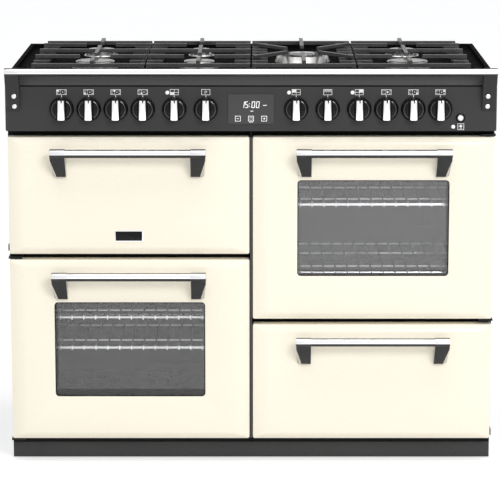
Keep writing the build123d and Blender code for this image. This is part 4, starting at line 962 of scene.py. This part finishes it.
# Back panel: pressed beads and screws
BEAD_X, BEAD_Z, BEAD_WIDTH, BEAD_HEIGHT, BEAD_CORNER = 255.0, 380.0, 440.0, 470.0, 40.0
BEAD_SECTION = [(-6, -0.4), (-4.5, 1.0), (-2, 1.9), (2, 1.9), (4.5, 1.0), (6, -0.4), (-6, -0.4)]
BACK_SCREW = [(0, -0.5), (5.0, -0.5), (5.0, 1.0), (4.0, 2.2), (2.0, 2.8), (0, 3.0)]
SCREW_INSET, SCREW_TOP_INSET = 14.0, 10.0
back_y = back_low.y + SHEET
beads = bmesh.new()
for side in (-1, 1):
    rings = []
    for growth, rise in BEAD_SECTION:
        outline = rectangle(BEAD_WIDTH + 2 * growth, BEAD_HEIGHT + 2 * growth, BEAD_CORNER + growth,
                            side * BEAD_X, BEAD_Z, steps=8)
        rings.append([Vector((u, back_y + rise, v)) for u, v in outline])
    add_rings(beads, rings)
bmesh.ops.remove_doubles(beads, verts=beads.verts, dist=WELD)
piece("back_beads", beads, ROOT, [MATERIALS["galvanised_sheet"]])
screws = bmesh.new()
first_x, last_x = back_low.x + SCREW_INSET, back_high.x - SCREW_INSET
half_way = (back_low.z + back_high.z) / 2
for x in (first_x, back_low.x / 2, 0, back_high.x / 2, last_x):
    for z in (back_low.z + SCREW_INSET, half_way, back_high.z - SCREW_TOP_INSET):
        if x in (first_x, last_x) or z != half_way:
            add_lathe(screws, BACK_SCREW, backward(x, back_y, z), segments=16)
piece("back_screws", screws, ROOT, [MATERIALS["tube_steel"]])


# Floor, world and lamps
def seen_directly(tree, socket, strength):
    """Feeds the socket with the strength for camera, glossy and transmission rays, and with nothing for
    the rest."""
    light_path = tree.nodes.new("ShaderNodeLightPath")
    factor = light_path.outputs["Is Camera Ray"]
    for name in ("Is Glossy Ray", "Is Transmission Ray"):
        either = tree.nodes.new("ShaderNodeMath")
        either.operation = "MAXIMUM"
        tree.links.new(factor, either.inputs[0])
        tree.links.new(light_path.outputs[name], either.inputs[1])
        factor = either.outputs[0]
    scaled = tree.nodes.new("ShaderNodeMath")
    scaled.operation = "MULTIPLY"
    scaled.inputs[1].default_value = strength
    tree.links.new(factor, scaled.inputs[0])
    tree.links.new(scaled.outputs[0], socket)


FLOOR_HALF = 30.0       # in metres
FLOOR_GLOW = 0.45
floor_mesh = bpy.data.meshes.new("floor")
floor_corners = [(-FLOOR_HALF, -FLOOR_HALF, 0), (FLOOR_HALF, -FLOOR_HALF, 0), (FLOOR_HALF, FLOOR_HALF, 0),
                 (-FLOOR_HALF, FLOOR_HALF, 0)]
floor_mesh.from_pydata(floor_corners, [], [(0, 1, 2, 3)])
floor = bpy.data.objects.new("floor", floor_mesh)
floor_material = surface("studio_floor", grey(0.8), 0.8, vary=0.005, grain=0.02, specular=0.1)
floor_mesh.materials.append(floor_material)
floor_shader = floor_material.node_tree.nodes["Principled BSDF"]
seen_directly(floor_material.node_tree, floor_shader.inputs["Emission Strength"], FLOOR_GLOW)
set_inputs(floor_shader, Emission_Color=(1, 1, 1, 1))
scene.collection.objects.link(floor)

# The world lights softly, and rays that see it directly find white with a dark patch overhead and one
# high behind the cooker
world = bpy.data.worlds.new("studio")
world.use_nodes = True
scene.world = world
tree = world.node_tree
tree.nodes.clear()
output = tree.nodes.new("ShaderNodeOutputWorld")
blend = tree.nodes.new("ShaderNodeMixShader")
ambient = tree.nodes.new("ShaderNodeBackground")
set_inputs(ambient, Color=(0.97, 0.98, 1.0, 1), Strength=0.68)
white = tree.nodes.new("ShaderNodeBackground")
direction = tree.nodes.new("ShaderNodeTexCoord")
axes = tree.nodes.new("ShaderNodeSeparateXYZ")
tree.links.new(direction.outputs["Generated"], axes.inputs[0])
overhead = map_range(tree, axes.outputs["Z"], 0, 1, 0.75, 0.97)
behind = tree.nodes.new("ShaderNodeMath")
behind.operation = "MULTIPLY"
tree.links.new(map_range(tree, axes.outputs["Y"], 0, 1, 0.0, 0.3), behind.inputs[0])
tree.links.new(map_range(tree, axes.outputs["Z"], 0, 1, 0.25, 0.45), behind.inputs[1])
patches = tree.nodes.new("ShaderNodeMath")
patches.operation = "MAXIMUM"
tree.links.new(overhead, patches.inputs[0])
tree.links.new(behind.outputs[0], patches.inputs[1])
tree.links.new(mix_colour(tree, patches.outputs[0], grey(1), grey(0.12)), white.inputs["Color"])
seen_directly(tree, blend.inputs["Fac"], 1.0)
tree.links.new(ambient.outputs[0], blend.inputs[1])
tree.links.new(white.outputs[0], blend.inputs[2])
tree.links.new(blend.outputs[0], output.inputs["Surface"])


def add_lamp(name, place, target, size, power):
    """An area light that faces a target, in metres and watts."""
    data = bpy.data.lights.new(name, "AREA")
    data.shape = "RECTANGLE"
    data.size, data.size_y = size
    data.energy = power
    lamp = bpy.data.objects.new(name, data)
    lamp.location = place
    lamp.rotation_euler = (Vector(target) - Vector(place)).to_track_quat("-Z", "Y").to_euler()
    scene.collection.objects.link(lamp)


add_lamp("front_softbox", (1.5, -4.0, 2.7), (0, -0.2, 0.45), (1.8, 1.3), 75)
add_lamp("top_softbox", (0, -0.8, 3.4), (0, -0.1, 0.9), (3.0, 2.0), 40)
